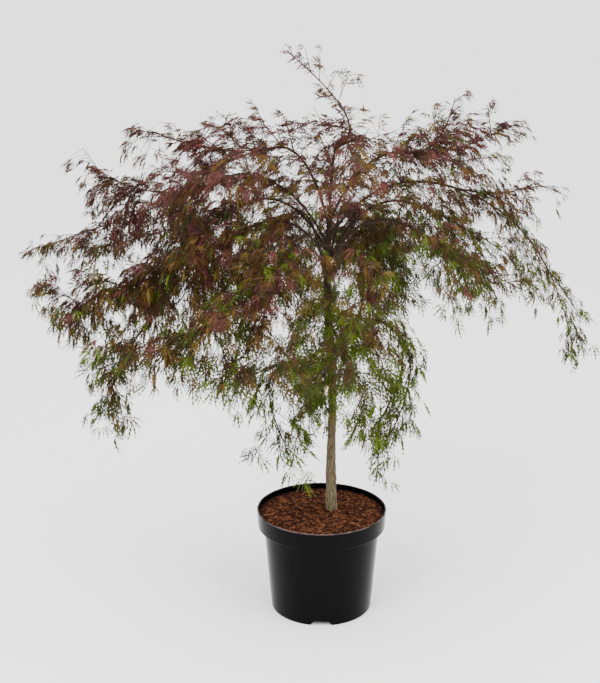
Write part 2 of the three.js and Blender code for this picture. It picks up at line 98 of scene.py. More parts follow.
# name: its bough, azimuth, reach and height of its stem's end, length of its longest twigs, their
# droop, and how fully it is leaved
MASSES = {
    "leader_shoot": ("bough_top", 172, 95, 1190, 70, 0, 0.45),
    "cap_back": ("bough_top", 96, 215, 1020, 110, 0.3, 0.27),
    "cap_front": ("bough_top", 276, 220, 1005, 110, 0.3, 0.3),
    "cap_left": ("bough_top_left", 180, 365, 1035, 100, 0.3, 0.36),
    "cap_left_front": ("bough_top_left", 222, 310, 975, 110, 0.3, 0.5),
    "cap_left_back": ("bough_top_left", 134, 310, 1035, 110, 0.3, 0.14),
    "upper_right_shoot": ("bough_top_right", 2, 240, 1100, 70, 0, 0.18),
    "cap_right_front": ("bough_top_right", 324, 290, 985, 110, 0.3, 0.14),
    "cap_right": ("bough_top_right", 354, 335, 1045, 100, 0.3, 0.28),
    "cap_right_back": ("bough_top_right", 42, 310, 1025, 110, 0.3, 0.3),
    "left_shoulder": ("bough_left", 171, 500, 945, 90, 0.5, 0.55),
    "left_tip": ("bough_left", 183, 612, 800, 60, 0.4, 0.22),
    "left_curtain": ("bough_left_front", 196, 535, 715, 90, 0.5, 0.82),
    "left_front_curtain": ("bough_left_front", 214, 515, 585, 90, 0.5, 0.4),
    "left_back_shoulder": ("bough_left_back", 164, 545, 760, 90, 0.5, 0.36),
    "left_back_curtain": ("bough_left_back", 138, 500, 660, 90, 0.5, 0.42),
    "front_left_shoulder": ("bough_front_left", 232, 480, 690, 90, 0.5, 0.7),
    "front_left_curtain": ("bough_front_left", 250, 430, 670, 90, 0.5, 0.34),
    "front_curtain": ("bough_front", 269, 400, 675, 90, 0.5, 0.16),
    "front_right_curtain": ("bough_front", 280, 360, 690, 90, 0.5, 0.12),
    "right_front_curtain": ("bough_right_front", 311, 370, 780, 90, 0.5, 0.27),
    "right_front_shoulder": ("bough_right_front", 335, 400, 750, 90, 0.5, 0.2),
    "right_tip": ("bough_right", 358, 490, 620, 70, 0.5, 0.22),
    "right_shoulder": ("bough_right", 12, 430, 915, 90, 0.5, 0.16),
    "right_back_shoulder": ("bough_right_back", 27, 470, 720, 90, 0.5, 0.15),
    "right_back_curtain": ("bough_right_back", 50, 460, 680, 90, 0.5, 0.34),
    "back_right_curtain": ("bough_back", 70, 450, 660, 90, 0.5, 0.8),
    "back_curtain": ("bough_back", 88, 460, 650, 90, 0.5, 0.2),
    "back_left_curtain": ("bough_back_left", 104, 460, 650, 90, 0.5, 0.3),
    "back_left_shoulder": ("bough_back_left", 121, 480, 660, 90, 0.5, 0.4),
    "low_left_inner": ("bough_low_left", 224, 135, 400, 70, 0.6, 0.17),
    "low_left_outer": ("bough_low_left", 184, 195, 510, 80, 0.6, 0.1),
    "low_right_inner": ("bough_low_right", 318, 115, 355, 55, 0.6, 0.13),
    "low_right_outer": ("bough_low_right", 335, 105, 430, 55, 0.6, 0.08),
    "low_front_left": ("bough_low_front", 258, 150, 520, 80, 0.6, 0.45),
    "low_front_right": ("bough_low_front", 292, 170, 545, 80, 0.6, 0.38),
    "low_back_left": ("bough_low_back", 122, 200, 510, 80, 0.6, 0.08),
    "low_back_right": ("bough_low_back", 62, 190, 500, 80, 0.6, 0.1),
}

# Tints of the leaves, three to a family, from the sunlit top down: the slot, and the colour as seen.
TINTS = {
    "burgundy_deep": ("leaf_burgundy", (0.178, 0.090, 0.086)),
    "burgundy": ("leaf_burgundy", (0.268, 0.142, 0.132)),
    "burgundy_rosy": ("leaf_burgundy", (0.325, 0.176, 0.156)),
    "bronze_deep": ("leaf_bronze", (0.182, 0.124, 0.048)),
    "bronze": ("leaf_bronze", (0.272, 0.196, 0.070)),
    "bronze_pale": ("leaf_bronze", (0.320, 0.250, 0.088)),
    "green_deep": ("leaf_green", (0.142, 0.156, 0.027)),
    "green": ("leaf_green", (0.200, 0.232, 0.034)),
    "green_fresh": ("leaf_green", (0.255, 0.315, 0.045)),
}

RULE_FACTORS = (12.9898, 78.233, 37.719)  # of the rule of chance: for the mass, the key and the quantity
RULE_SPREAD = 43758.5453
RIPPLE_STEP = 1.27  # how many waves each wave of a ripple has for one of the wave before it
CURVE_STEPS = 128  # steps in which a curve is worked out before it is drawn again evenly


# ---- numbers and vectors ----

def unit(vectors):
    """Vectors divided by their lengths."""
    return vectors / np.linalg.norm(vectors, axis=-1, keepdims=True)


def dot(a, b):
    """The scalar product of two arrays of vectors, kept as a last axis of one."""
    return (a * b).sum(-1, keepdims=True)


def mix(a, b, share):
    """a at share 0 and b at share 1."""
    return a + (b - a) * share


def smooth(low, high, value):
    """0 below low and 1 above high, with the cubic 3t^2 - 2t^3 between them."""
    t = np.clip((value - low) / (high - low), 0, 1)
    return t * t * (3 - 2 * t)


def chance(mass, key, quantity):
    """Numbers from 0 to 1 that depend only on the mass, the twig or leaf, and what they are for."""
    by_mass, by_key, by_quantity = RULE_FACTORS
    x = np.sin(mass * by_mass + key * by_key + quantity * by_quantity) * RULE_SPREAD
    return x - np.floor(x)


def ripple(seed, *coordinates, waves=9):
    """Soft noise from about -1 to 1: the sum of sine waves that run through the coordinates in seeded
    directions, with seeded phases, each a little shorter than the one before."""
    draw = np.random.default_rng(seed)
    total = 0
    for wave in range(waves):
        direction = unit(draw.normal(size=len(coordinates)))
        phase = draw.uniform(0, math.tau)
        along = sum(c * d for c, d in zip(coordinates, direction))
        total = total + np.sin(along * RIPPLE_STEP ** wave + phase)
    return total / math.sqrt(waves / 2) / 2


def polar(azimuth, reach, height):
    """A point at an azimuth in degrees, a reach from the pole and a height, both in millimetres."""
    angle = math.radians(azimuth)
    flat = np.array([math.cos(angle), math.sin(angle), 0])
    return POLE + flat * reach * MM + UP * height * MM


# ---- curves ----

def evenly(points, count):
    """A polyline drawn again with count points at equal steps of its length."""
    steps = np.linalg.norm(np.diff(points, axis=0), axis=1)
    length = np.concatenate([[0], np.cumsum(steps)])
    places = np.linspace(0, length[-1], count)
    return np.stack([np.interp(places, length, points[:, k]) for k in range(3)], axis=1)


def bezier(start, control, end, count):
    """The quadratic (1-t)^2 a + 2t(1-t) b + t^2 c at equal steps of its length."""
    t = np.linspace(0, 1, CURVE_STEPS + 1)[:, None]
    return evenly((1 - t) ** 2 * start + 2 * t * (1 - t) * control + t ** 2 * end, count)


def smooth_line(knots, count):
    """A centripetal Catmull-Rom curve through the knots, whose knot spacing is the square root of the
    distance between them, with both ends run on in a straight line."""
    knots = np.vstack([2 * knots[0] - knots[1], knots, 2 * knots[-1] - knots[-2]])
    t = np.linspace(0, 1, CURVE_STEPS // 2 + 1)[:-1, None]
    pieces = []
    for a, b, c, d in zip(knots, knots[1:], knots[2:], knots[3:]):
        first, middle, last = (math.sqrt(np.linalg.norm(q - p)) for p, q in ((a, b), (b, c), (c, d)))
        leave = middle * ((b - a) / first - (c - a) / (first + middle) + (c - b) / middle)
        arrive = middle * ((c - b) / middle - (d - b) / (middle + last) + (d - c) / last)
        cubic = (2 * b - 2 * c + leave + arrive) * t ** 3
        pieces.append(b + leave * t + (3 * c - 3 * b - 2 * leave - arrive) * t ** 2 + cubic)
    return evenly(np.vstack([*pieces, knots[-2:-1]]), count)


def at_share(line, share):
    """Points of an even polyline at shares of its length, and its headings there."""
    place = np.clip(share, 0, 1) * (len(line) - 1)
    before = np.minimum(place.astype(int), len(line) - 2)
    step = line[before + 1] - line[before]
    return line[before] + step * (place - before)[:, None], unit(step)


# ---- surfaces ----

def grid_faces(rows, columns, first=0):
    """Quads between neighbouring rings of a tube of points, rows by columns, numbered from first."""
    row = np.arange(rows - 1)[:, None] * columns + first
    column = np.arange(columns)[None, :]
    after = (column + 1) % columns
    ring = [row + column, row + after, row + columns + after, row + columns + column]
    return np.stack(ring, -1).reshape(-1, 4)


def tubes(paths, radii, sides):
    """Round tubes about paths (n, k, 3) with radii (n, k): ring points at
    p + r (cos a * across + sin a * over), where across is level and square to the path."""
    n, k, _ = paths.shape
    heading = unit(np.gradient(paths, axis=1))
    level = np.cross(paths[:, -1] - paths[:, 0], UP) + NUDGE
    across = unit(level)[:, None, :]
    across = unit(across - dot(across, heading) * heading)
    over = np.cross(heading, across)
    angle = (np.arange(sides) * math.tau / sides)[:, None]
    ring = np.cos(angle) * across[:, :, None] + np.sin(angle) * over[:, :, None]
    points = paths[:, :, None] + radii[:, :, None, None] * ring
    start = (np.arange(n) * k * sides)[:, None, None]
    walls = (grid_faces(k, sides)[None] + start).reshape(-1, 4)
    foot = (np.arange(sides)[::-1][None] + start[:, 0])
    tip = (np.arange(sides)[None] + (k - 1) * sides + start[:, 0])
    return points.reshape(-1, 3), [walls, foot, tip]


def joined(parts):
    """Several (points, list of face arrays) as one."""
    points, faces, count = [], [], 0
    for some, groups in parts:
        points.append(some)
        faces += [group + count for group in groups]
        count += len(some)
    return np.concatenate(points), faces


def copies(shapes, faces):
    """Shapes (n, k, 3) that have the same faces, as one: points, and the faces of each in turn."""
    shift = (np.arange(len(shapes)) * shapes.shape[1])[:, None, None]
    return shapes.reshape(-1, 3), [(group[None] + shift).reshape(-1, group.shape[1]) for group in faces]


def new_piece(name, points, faces, material, slot, nodes=(), is_smooth=True):
    """A mesh object from points and arrays of faces. With a slot, it rides on the plant and stands for
    nodes of the frame."""
    mesh = bpy.data.meshes.new(name)
    mesh.vertices.add(len(points))
    mesh.vertices.foreach_set("co", np.ascontiguousarray(points, np.float32).ravel())
    corners = np.concatenate([group.ravel() for group in faces])
    sizes = np.concatenate([np.full(len(group), group.shape[1]) for group in faces])
    mesh.loops.add(len(corners))
    mesh.loops.foreach_set("vertex_index", corners.astype(np.int32))
    mesh.polygons.add(len(sizes))
    starts = np.concatenate([[0], np.cumsum(sizes)[:-1]])
    mesh.polygons.foreach_set("loop_start", starts.astype(np.int32))
    mesh.update(calc_edges=True)
    mesh.polygons.foreach_set("use_smooth", np.full(len(sizes), is_smooth))
    mesh.materials.append(material)
    piece = bpy.data.objects.new(name, mesh)
    bpy.context.scene.collection.objects.link(piece)
    if slot:
        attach(piece, "root")
        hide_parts(*nodes)
    return piece


# ---- materials ----

class Value:
    """A number on a shader socket. Python's operators on it add Math nodes."""

    def __init__(self, paint, socket):
        self.paint = paint
        self.socket = socket

    def _math(self, operation, first, second):
        """A Math node's result for two numbers or links."""
        return self.paint.value("ShaderNodeMath", {"operation": operation}, {0: first, 1: second})

    def __add__(self, other):
        return self._math("ADD", self, other)

    def __radd__(self, other):
        return self._math("ADD", other, self)

    def __sub__(self, other):
        return self._math("SUBTRACT", self, other)

    def __rsub__(self, other):
        return self._math("SUBTRACT", other, self)

    def __mul__(self, other):
        return self._math("MULTIPLY", self, other)

    def __rmul__(self, other):
        return self._math("MULTIPLY", other, self)

    def __pow__(self, other):
        return self._math("POWER", self, other)


class Paint:
    """A material with one shader, whose nodes are added and linked by calls."""

    def __init__(self, name, **constants):
        self.material = bpy.data.materials.new(name)
        self.material.use_nodes = True
        self.tree = self.material.node_tree
        self.shader = self.tree.nodes["Principled BSDF"]
        self.set(**constants)

    def set(self, **inputs):
        """Sets or links the shader's sockets. A name's underscores stand for spaces."""
        for name, value in inputs.items():
            self.fill(self.shader.inputs[name.replace("_", " ")], value)

    def fill(self, socket, value):
        """Puts a number, colour or link on a socket."""
        if isinstance(value, Value):
            self.tree.links.new(value.socket, socket)
        elif hasattr(value, "__len__") and len(value) == 3 and len(socket.default_value) == 4:
            socket.default_value = (*value, 1)
        else:
            socket.default_value = value

    def value(self, kind, settings=None, inputs=None, output=0):
        """Adds a node with its settings and the values or links of its sockets, and gives its output."""
        node = self.tree.nodes.new(kind)
        for name, setting in (settings or {}).items():
            if name == "stops":
                self.set_stops(node.color_ramp, setting)
            else:
                setattr(node, name, setting)
        for key, value in (inputs or {}).items():
            self.fill(node.inputs[key], value)
        return Value(self, node.outputs[output])

    @staticmethod
    def set_stops(ramp, stops):
        """Puts pairs of place and colour on a colour ramp."""
        for element, (place, colour) in zip([ramp.elements[0], ramp.elements[1]], stops):
            element.position = place
            element.color = (*colour, 1)
        for place, colour in stops[2:]:
            ramp.elements.new(place).color = (*colour, 1)

    def place(self, stretch=(1, 1, 1)):
        """The point on the piece, with each axis stretched."""
        spot = self.value("ShaderNodeTexCoord", output="Object")
        scale = {"Vector": spot, "Scale": stretch}
        return self.value("ShaderNodeMapping", {"vector_type": "POINT"}, scale)

    def height(self):
        """The height of the point on the piece."""
        spot = self.value("ShaderNodeTexCoord", output="Object")
        return self.value("ShaderNodeSeparateXYZ", None, {"Vector": spot}, "Z")

    def noise(self, scale, detail=3, stretch=(1, 1, 1), roughness=0.5):
        """Fractal noise from 0 to 1, scale waves to the metre."""
        inputs = {"Vector": self.place(stretch), "Scale": scale, "Detail": detail, "Roughness": roughness}
        return self.value("ShaderNodeTexNoise", None, inputs)

    def ramp(self, value, *stops):
        """Colours read off a ramp by a value."""
        return self.value("ShaderNodeValToRGB", {"stops": stops}, {"Fac": value})

    def between(self, low, high, value):
        """0 where the value is under low and 1 where it is over high."""
        inputs = {"Value": value, "From Min": low, "From Max": high}
        return self.value("ShaderNodeMapRange", {"interpolation_type": "SMOOTHSTEP"}, inputs)

    def blend(self, share, first, second):
        """A colour that turns from first to second."""
        settings = {"data_type": "RGBA"}
        return self.value("ShaderNodeMix", settings, {0: share, 6: first, 7: second}, 2)

    def bump(self, height, distance, strength=1.0):
        """Links a height to the shader's normal, through a bump of a depth in metres."""
        inputs = {"Height": height, "Distance": distance, "Strength": strength}
        self.set(Normal=self.value("ShaderNodeBump", None, inputs))


def seen(colour):
    """Linear light from a colour as it is seen on a screen."""
    c = np.asarray(colour, float)
    return tuple(float(v) for v in np.where(c > 0.04045, ((c + 0.055) / 1.055) ** 2.4, c / 12.92))


def shades(colour, darker, paler):
    """A colour made darker by a factor, as it is, and made paler by one."""
    return tuple(c * darker for c in colour), tuple(colour), tuple(min(1, c * paler) for c in colour)


def plain(name, colour, roughness, gloss=0.1):
    """A material of one colour, given as it is seen."""
    return Paint(name, Base_Color=seen(colour), Roughness=roughness, Specular_IOR_Level=gloss).material


# ---- settings ----

def length_setting(name, description, default):
    """A setting in metres."""
    return FloatProperty(name=name, description=description, default=default, unit="LENGTH")


def colour_setting(name, description, default):
    """A setting for a colour, with its default given as it is seen on a screen."""
    return FloatVectorProperty(
        name=name, description=description, default=seen(default), subtype="COLOR", size=3)


class PotSettings(bpy.types.PropertyGroup):
    """Sizes and colour of the pot"""

    wall: length_setting("Wall", "Thickness of the wall", 0.0025)
    band_height: length_setting("Band height", "Height of the wide band under the lip", 0.041)
    band_step: length_setting("Band step", "How far the band stands out of the wall", 0.013)
    band_taper: length_setting("Band taper", "How much the band narrows downwards", 0.0025)
    base_radius: length_setting("Base radius", "Radius of the underside", 0.1095)
    colour: colour_setting("Colour", "Colour of the plastic", (0.015, 0.013, 0.014))


class CompostSettings(bpy.types.PropertyGroup):
    """Sizes and amount of what lies on the compost"""

    relief: length_setting("Relief", "Height of the surface's lumps", 0.005)
    chips: IntProperty(name="Chips", description="Number of bark chips", default=2800)
    fibres: IntProperty(name="Fibres", description="Number of loose fibres", default=3600)
    colour: colour_setting("Colour", "Main colour of the compost", (0.18, 0.095, 0.060))


class BarkSettings(bpy.types.PropertyGroup):
    """Relief and colour of the bark"""

    relief: length_setting("Relief", "Depth of the ridges on the trunk", 0.0009)
    colour: colour_setting("Colour", "Main colour of the bark", (0.33, 0.265, 0.212))
    lichen: colour_setting("Lichen", "Colour of the lichen near the foot", (0.42, 0.43, 0.31))


class FoliageSettings(bpy.types.PropertyGroup):
    """Sizes and spacing of the twigs and leaves"""

    twig_spacing: length_setting("Twig spacing", "Distance between twigs along a stem", 0.026)
    leaf_spacing: length_setting("Leaf spacing", "Distance between pairs of leaves", 0.0064)
    leaf_cell: length_setting("Leaf cell", "Side of the cube that holds one leaf", 0.0072)
    leaf_length: length_setting("Leaf length", "Length of a leaf's middle lobe", 0.030)
    stalk_length: length_setting("Stalk length", "Length of a leaf's stalk", 0.016)


class StageSettings(bpy.types.PropertyGroup):
    """Floor, light and camera"""

    lens: FloatProperty(name="Lens", description="Focal length in millimetres", default=67.5)
    tilt: FloatProperty(
        name="Tilt", description="How far the camera looks down", default=math.radians(16.34),
        subtype="ANGLE")
    light: FloatProperty(name="Light", description="Strength of the light from all sides", default=2.4)


# ---- pot ----

CHANNEL_COUNT = 4
CHANNEL_FIRST = -91  # degrees
CHANNEL_SIZE = np.array([34, 32, 45, 9]) * MM  # depth from the edge, widths at roof and foot, height
CHANNEL_FADE = 30 * MM  # the height at which the wall no longer shows a channel
POT_COLUMNS = 384
POT_STEP = 4 * MM  # the longest stretch of the pot's profile between points
LIP_WIDTH = 1.3  # in thicknesses of the wall
BAND_IN, BAND_UP = 1.2, 2.4  # where the band's inner corner is, in thicknesses of the wall
OUTER_ROUNDING = np.array([0, 3, 1.2, 2.2, 1.5, 1.5, 0]) * MM  # at each corner of the profile
INNER_ROUNDING = np.array([0, 3, 3, 0]) * MM
SHARP_ANGLE = math.radians(40)
LIP_HIGHLIGHT_HEIGHTS = (224.6 * MM, 225.8 * MM)  # the heights between which the painted highlight on the lip begins
LIP_HIGHLIGHT_COLOUR = (0.50, 0.42, 0.42)  # the painted highlight's colour as seen


def lathe(profile, columns):
    """A profile (k, 2) of radius and height, from axis to axis, turned about Z: (r cos a, r sin a, z),
    with one point for each pole."""
    angle = np.arange(columns) * math.tau / columns
    radius, height = profile[1:-1, :1], profile[1:-1, 1:]
    rings = np.stack([radius * np.cos(angle), radius * np.sin(angle), height + 0 * angle], -1)
    rows = len(profile) - 2
    ends = np.array([[0, 0, profile[0, 1]], [0, 0, profile[-1, 1]]])
    turn = np.arange(columns)
    after = (turn + 1) % columns
    first = np.stack([turn, np.full(columns, rows * columns), after], -1)
    last = np.stack([turn, after, np.full(columns, rows * columns + 1)], -1)
    last[:, :2] += (rows - 1) * columns
    walls = grid_faces(rows, columns)
    return np.concatenate([rings.reshape(-1, 3), ends]), [walls, first, last]


def rounded(corners, radii, steps=6):
    """A polyline whose corners are rounded: each is replaced by a parabola that starts and ends at its
    radius from the corner, or at half of the shorter stretch where that is less."""
    corners = np.asarray(corners, float)
    points = [corners[0]]
    t = np.linspace(0, 1, steps)[:, None]
    for before, corner, after, radius in zip(corners, corners[1:], corners[2:], radii[1:]):
        room = 0.5 * min(np.linalg.norm(before - corner), np.linalg.norm(after - corner))
        cut = min(radius, room)
        start = corner + unit(before - corner) * cut
        end = corner + unit(after - corner) * cut
        points += list((1 - t) ** 2 * start + 2 * t * (1 - t) * corner + t ** 2 * end)
    return np.array([*points, corners[-1]])


def dense(profile, step):
    """A polyline with points added so that no stretch is longer than a step."""
    pieces = []
    for a, b in zip(profile, profile[1:]):
        count = max(1, math.ceil(np.linalg.norm(b - a) / step))
        pieces.append(a + (b - a) * np.arange(count)[:, None] / count)
    return np.vstack([*pieces, profile[-1:]])


def lift_channels(points, base_radius, is_inner, wall):
    """Raises the points over each drainage channel: by its height at the underside, and by less and
    less up the wall. The inner surface is raised a wall's thickness more widely."""
    depth, roof_width, foot_width, height = CHANNEL_SIZE
    grown = np.where(is_inner, wall, 0)
    lift = np.zeros(len(points))
    for k in range(CHANNEL_COUNT):
        angle = math.radians(CHANNEL_FIRST + k * 360 / CHANNEL_COUNT)
        along = points[:, 0] * math.cos(angle) + points[:, 1] * math.sin(angle)
        across = points[:, 1] * math.cos(angle) - points[:, 0] * math.sin(angle)
        is_in = along > base_radius - depth - grown
        rise = (foot_width / 2 + grown - abs(across)) / ((foot_width - roof_width) / 2)
        lift = np.where(is_in, np.maximum(lift, height * np.clip(rise, 0, 1)), lift)
    points[:, 2] += lift * np.clip(1 - points[:, 2] / CHANNEL_FADE, 0, 1)
    return points


class MAPLE_OT_pot(bpy.types.Operator):
    """Make the pot: a thin shell with a wide band under a rounded lip, on a channelled underside"""

    bl_idname = "maple.pot"
    bl_label = "Pot"

    def execute(self, context):
        pot = context.scene.maple_pot
        _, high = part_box("pot")
        height, lip, base, wall = high.z, high.x, pot.base_radius, pot.wall
        band_foot = height - pot.band_height
        band_radius = lip - pot.band_taper
        body_top = band_radius - pot.band_step
        outer = rounded([
            (0, 0), (base, 0), (body_top, band_foot), (band_radius, band_foot + wall), (lip, height),
            (lip - LIP_WIDTH * wall, height), (band_radius - BAND_IN * wall, band_foot + BAND_UP * wall),
        ], OUTER_ROUNDING)
        inner = rounded([
            outer[-1], (body_top - wall, band_foot), (base - wall, wall), (0, wall),
        ], INNER_ROUNDING)
        outer, inner = dense(outer, POT_STEP), dense(inner, POT_STEP)
        profile = np.vstack([outer[:-1], inner])
        points, faces = lathe(profile, POT_COLUMNS)
        rings_inside = np.arange(len(profile) - 2) >= len(outer) - 2
        is_inner = np.concatenate([np.repeat(rings_inside, POT_COLUMNS), [False, True]])
        points = lift_channels(points, base, is_inner, wall)
        piece = new_piece("pot_shell", points, faces, glossy_plastic(pot.colour), "pot_plastic", ["pot"])
        piece.data.set_sharp_from_angle(angle=SHARP_ANGLE)
        return {"FINISHED"}


def glossy_plastic(colour):
    """Smooth black moulded plastic, a little duller in soft patches, with a painted highlight: a pale band
    in patches on the lip's edge.
    """
    paint = Paint("glossy_plastic", Specular_IOR_Level=0.05)
    patches = paint.noise(scale=14, detail=4)
    scuffs = paint.noise(scale=220, detail=2, stretch=(1, 1, 0.15))
    specks = paint.between(0.3, 0.7, paint.noise(scale=30, detail=3))
    # a pale band in patches at the top of the lip: a painted highlight, not dust
    painted_highlight = paint.between(*LIP_HIGHLIGHT_HEIGHTS, paint.height()) * specks
    paint.set(Base_Color=paint.blend(painted_highlight * 0.7, tuple(colour), seen(LIP_HIGHLIGHT_COLOUR)))
    paint.set(Roughness=patches * 0.10 + scuffs * 0.04 + 0.10)
    paint.bump(paint.noise(scale=90, detail=2), distance=0.0002, strength=0.25)
    return paint.material


# ---- compost ----

FILLED_OVER = 2.5 * MM  # how far the loose surface lies over the solid compost
LUMPS = ((3, 90, 1.0), (4, 330, 0.6))  # two noises of its surface: seed, waves to the metre, and share
LUMP_HEIGHT = 0.5  # how high they are together, as a share of the relief
MOUND = (0.02, 0.13)  # the distances from the trunk over which the mound at its foot falls away
EDGE_FADE = 0.93  # the share of the radius from which the lumps fade out
EDGE_GAP = 0.2 * MM  # between the surface's edge and the solid's
WALL_GAP = 1.5 * MM  # between the bed and the pot's wall
BED_SIDE = (2 * MM, 8 * MM)  # how far in and over the pot's shelf the bed's side begins
BED_FLOOR = 12 * MM  # how far the bed's foot is over the solid's
BED_ROWS, BED_COLUMNS = 90, 300

CHIP_SEED, FIBRE_SEED = 11, 12
CHIP_SIDES = 6
CHIP_UNEVEN = 0.35  # how much nearer or further each corner may be, as a share
CHIP_SIZES = (0.9, 3.2)  # in millimetres
CHIP_STRETCH = np.array([1.5, 0.8, 0.35])  # its length, width and thickness for a size of one
CHIP_TILT = 0.45  # radians
CHIP_PLACE = (5 * MM, 13.5 * MM, 0.4 * MM)  # least gaps to the wall and to the pole, and height
CHIP_TONES = [(0.075, 0.040, 0.026), (0.23, 0.12, 0.075), (0.38, 0.22, 0.14)]

FIBRE_HALF_LENGTHS = (1.5, 6.5)  # in millimetres
FIBRE_BEND = 0.45  # shares of the half length
FIBRE_RISE = 0.35
FIBRE_RADII = (0.25, 0.55)  # in millimetres
FIBRE_MIDDLE, FIBRE_TAPER = 1.05, 0.6  # its thickness in the middle, and how much less it is at the ends
FIBRE_POINTS = 6
FIBRE_TILT = 0.25  # radians
FIBRE_PLACE = (12 * MM, 15 * MM, 0.6 * MM)  # as for the chips
FIBRE_TONES = [(0.13, 0.065, 0.040), (0.34, 0.175, 0.10), (0.56, 0.36, 0.23)]


def scattered(draw, count, radius, trunk_gap):
    """Places spread evenly over the compost's disc, outside the trunk."""
    angle = draw.uniform(0, math.tau, count)
    reach = radius * np.sqrt(draw.uniform(0, 1, count))
    places = np.stack([reach * np.cos(angle), reach * np.sin(angle)], -1)
    return places[np.linalg.norm(places - POLE[:2], axis=1) > trunk_gap]


class MAPLE_OT_compost(bpy.types.Operator):
    """Make the compost: a lumpy surface, with bark chips and loose fibres lying on it"""

    bl_idname = "maple.compost"
    bl_label = "Compost"

    def execute(self, context):
        compost, pot = context.scene.maple_compost, context.scene.maple_pot
        low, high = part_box("compost")
        _, pot_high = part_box("pot")
        radius = high.x - EDGE_GAP
        top = high.z
        relief = compost.relief

        def surface(x, y):
            """Height of the compost: noise of two grains that fades out at the pot's wall, with a low
            mound at the trunk."""
            reach = np.hypot(x, y)
            lumps = sum(share * ripple(seed, x * pitch, y * pitch) for seed, pitch, share in LUMPS)
            mound = 1 - smooth(*MOUND, np.hypot(x - POLE[0], y - POLE[1]))
            fade = 1 - smooth(radius * EDGE_FADE, radius, reach)
            return top + FILLED_OVER + mound * relief + relief * lumps * fade * LUMP_HEIGHT

        inset = pot.wall + WALL_GAP
        shelf = pot_high.z - pot.band_height
        shelf_radius = pot_high.x - pot.band_taper - pot.band_step - inset
        floor = low.z + BED_FLOOR
        across_top = np.stack([np.linspace(0, radius, BED_ROWS), np.full(BED_ROWS, top)], -1)
        side_in, side_up = BED_SIDE
        side = [
            (radius - side_in, shelf + side_up), (shelf_radius, shelf),
            (pot.base_radius - inset, floor), (0, floor),
        ]
        profile = np.vstack([across_top, side])
        points, faces = lathe(profile[::-1], BED_COLUMNS)
        on_top = points[:, 2] > top - MM
        points[on_top, 2] = surface(points[on_top, 0], points[on_top, 1])
        ground = compost_ground(compost.colour)
        new_piece("compost_bed", points, faces, ground, "compost", ["compost"])
        self.strew_chips(compost, surface, radius)
        self.strew_fibres(compost, surface, radius)
        return {"FINISHED"}

    def strew_chips(self, compost, surface, radius):
        """Bark chips: flat, uneven six-sided flakes, each a double pyramid turned at random."""
        draw = np.random.default_rng(CHIP_SEED)
        wall_gap, pole_gap, lift = CHIP_PLACE
        places = scattered(draw, compost.chips, radius - wall_gap, pole_gap)
        n = len(places)
        corner = np.arange(CHIP_SIDES)
        angle = corner * math.tau / CHIP_SIDES
        rim = np.stack([np.cos(angle), np.sin(angle), 0 * angle], -1)
        shape = np.vstack([rim, [(0, 0, 0.5), (0, 0, -0.5)]])[None]
        shape = shape * (1 + CHIP_UNEVEN * draw.uniform(-1, 1, (n, CHIP_SIDES + 2, 1)))
        size = draw.uniform(*CHIP_SIZES, (n, 1, 1)) * MM * CHIP_STRETCH
        shape = turned_at_random(draw, shape * size, CHIP_TILT)
        height = surface(places[:, 0], places[:, 1]) + lift
        shape = shape + np.column_stack([places, height])[:, None]
        after = (corner + 1) % CHIP_SIDES
        upper = np.column_stack([corner, after, corner * 0 + CHIP_SIDES])
        lower = np.column_stack([after, corner, corner * 0 + CHIP_SIDES + 1])
        self.share_out(draw, "compost_chips", shape, [np.vstack([upper, lower])], CHIP_TONES)

    def strew_fibres(self, compost, surface, radius):
        """Fibres: three-sided strands along a shallow arc (t, bend (t^2 - 1), rise (1 - t^2))."""
        draw = np.random.default_rng(FIBRE_SEED)
        wall_gap, pole_gap, lift = FIBRE_PLACE
        places = scattered(draw, compost.fibres, radius - wall_gap, pole_gap)
        n = len(places)
        t = np.linspace(-1, 1, FIBRE_POINTS)[None]
        length = draw.uniform(*FIBRE_HALF_LENGTHS, (n, 1)) * MM
        bend = draw.uniform(-FIBRE_BEND, FIBRE_BEND, (n, 1)) * length
        rise = draw.uniform(0.0, FIBRE_RISE, (n, 1)) * length
        line = np.stack([length * t, bend * (t ** 2 - 1), rise * (1 - t ** 2)], -1)
        line = turned_at_random(draw, line, FIBRE_TILT)
        height = surface(places[:, 0], places[:, 1]) + lift
        line = line + np.column_stack([places, height])[:, None]
        radii = draw.uniform(*FIBRE_RADII, (n, 1)) * MM * (FIBRE_MIDDLE - FIBRE_TAPER * t ** 2)
        points, (walls, foot, tip) = tubes(line, radii, 3)
        strand = [walls.reshape(n, -1, 4)[0], np.vstack([foot[:1], tip[:1]])]
        self.share_out(draw, "compost_fibres", points.reshape(n, -1, 3), strand, FIBRE_TONES)

    def share_out(self, draw, title, shapes, faces, tones):
        """Deals shapes (n, k, 3) that have the same faces out by chance, to one piece for each tone."""
        pick = draw.integers(0, len(tones), len(shapes))
        for index, tone in enumerate(tones):
            name = f"{title}_{index + 1}"
            material = plain(name, tone, roughness=0.9)
            repeated = copies(shapes[pick == index], faces)
            new_piece(name, *repeated, material, "compost", is_smooth=False)


def turned_at_random(draw, shapes, tilt):
    """Shapes (n, k, 3) turned about Z by any angle, after a tilt about X of up to a limit."""
    n = len(shapes)
    turn = draw.uniform(0, math.tau, n)[:, None]
    lean = draw.uniform(-tilt, tilt, n)[:, None]
    x, y, z = np.moveaxis(shapes, -1, 0)
    across = y * np.cos(lean) - z * np.sin(lean)
    above = y * np.sin(lean) + z * np.cos(lean)
    c, s = np.cos(turn), np.sin(turn)
    return np.stack([x * c - across * s, x * s + across * c, above], -1)


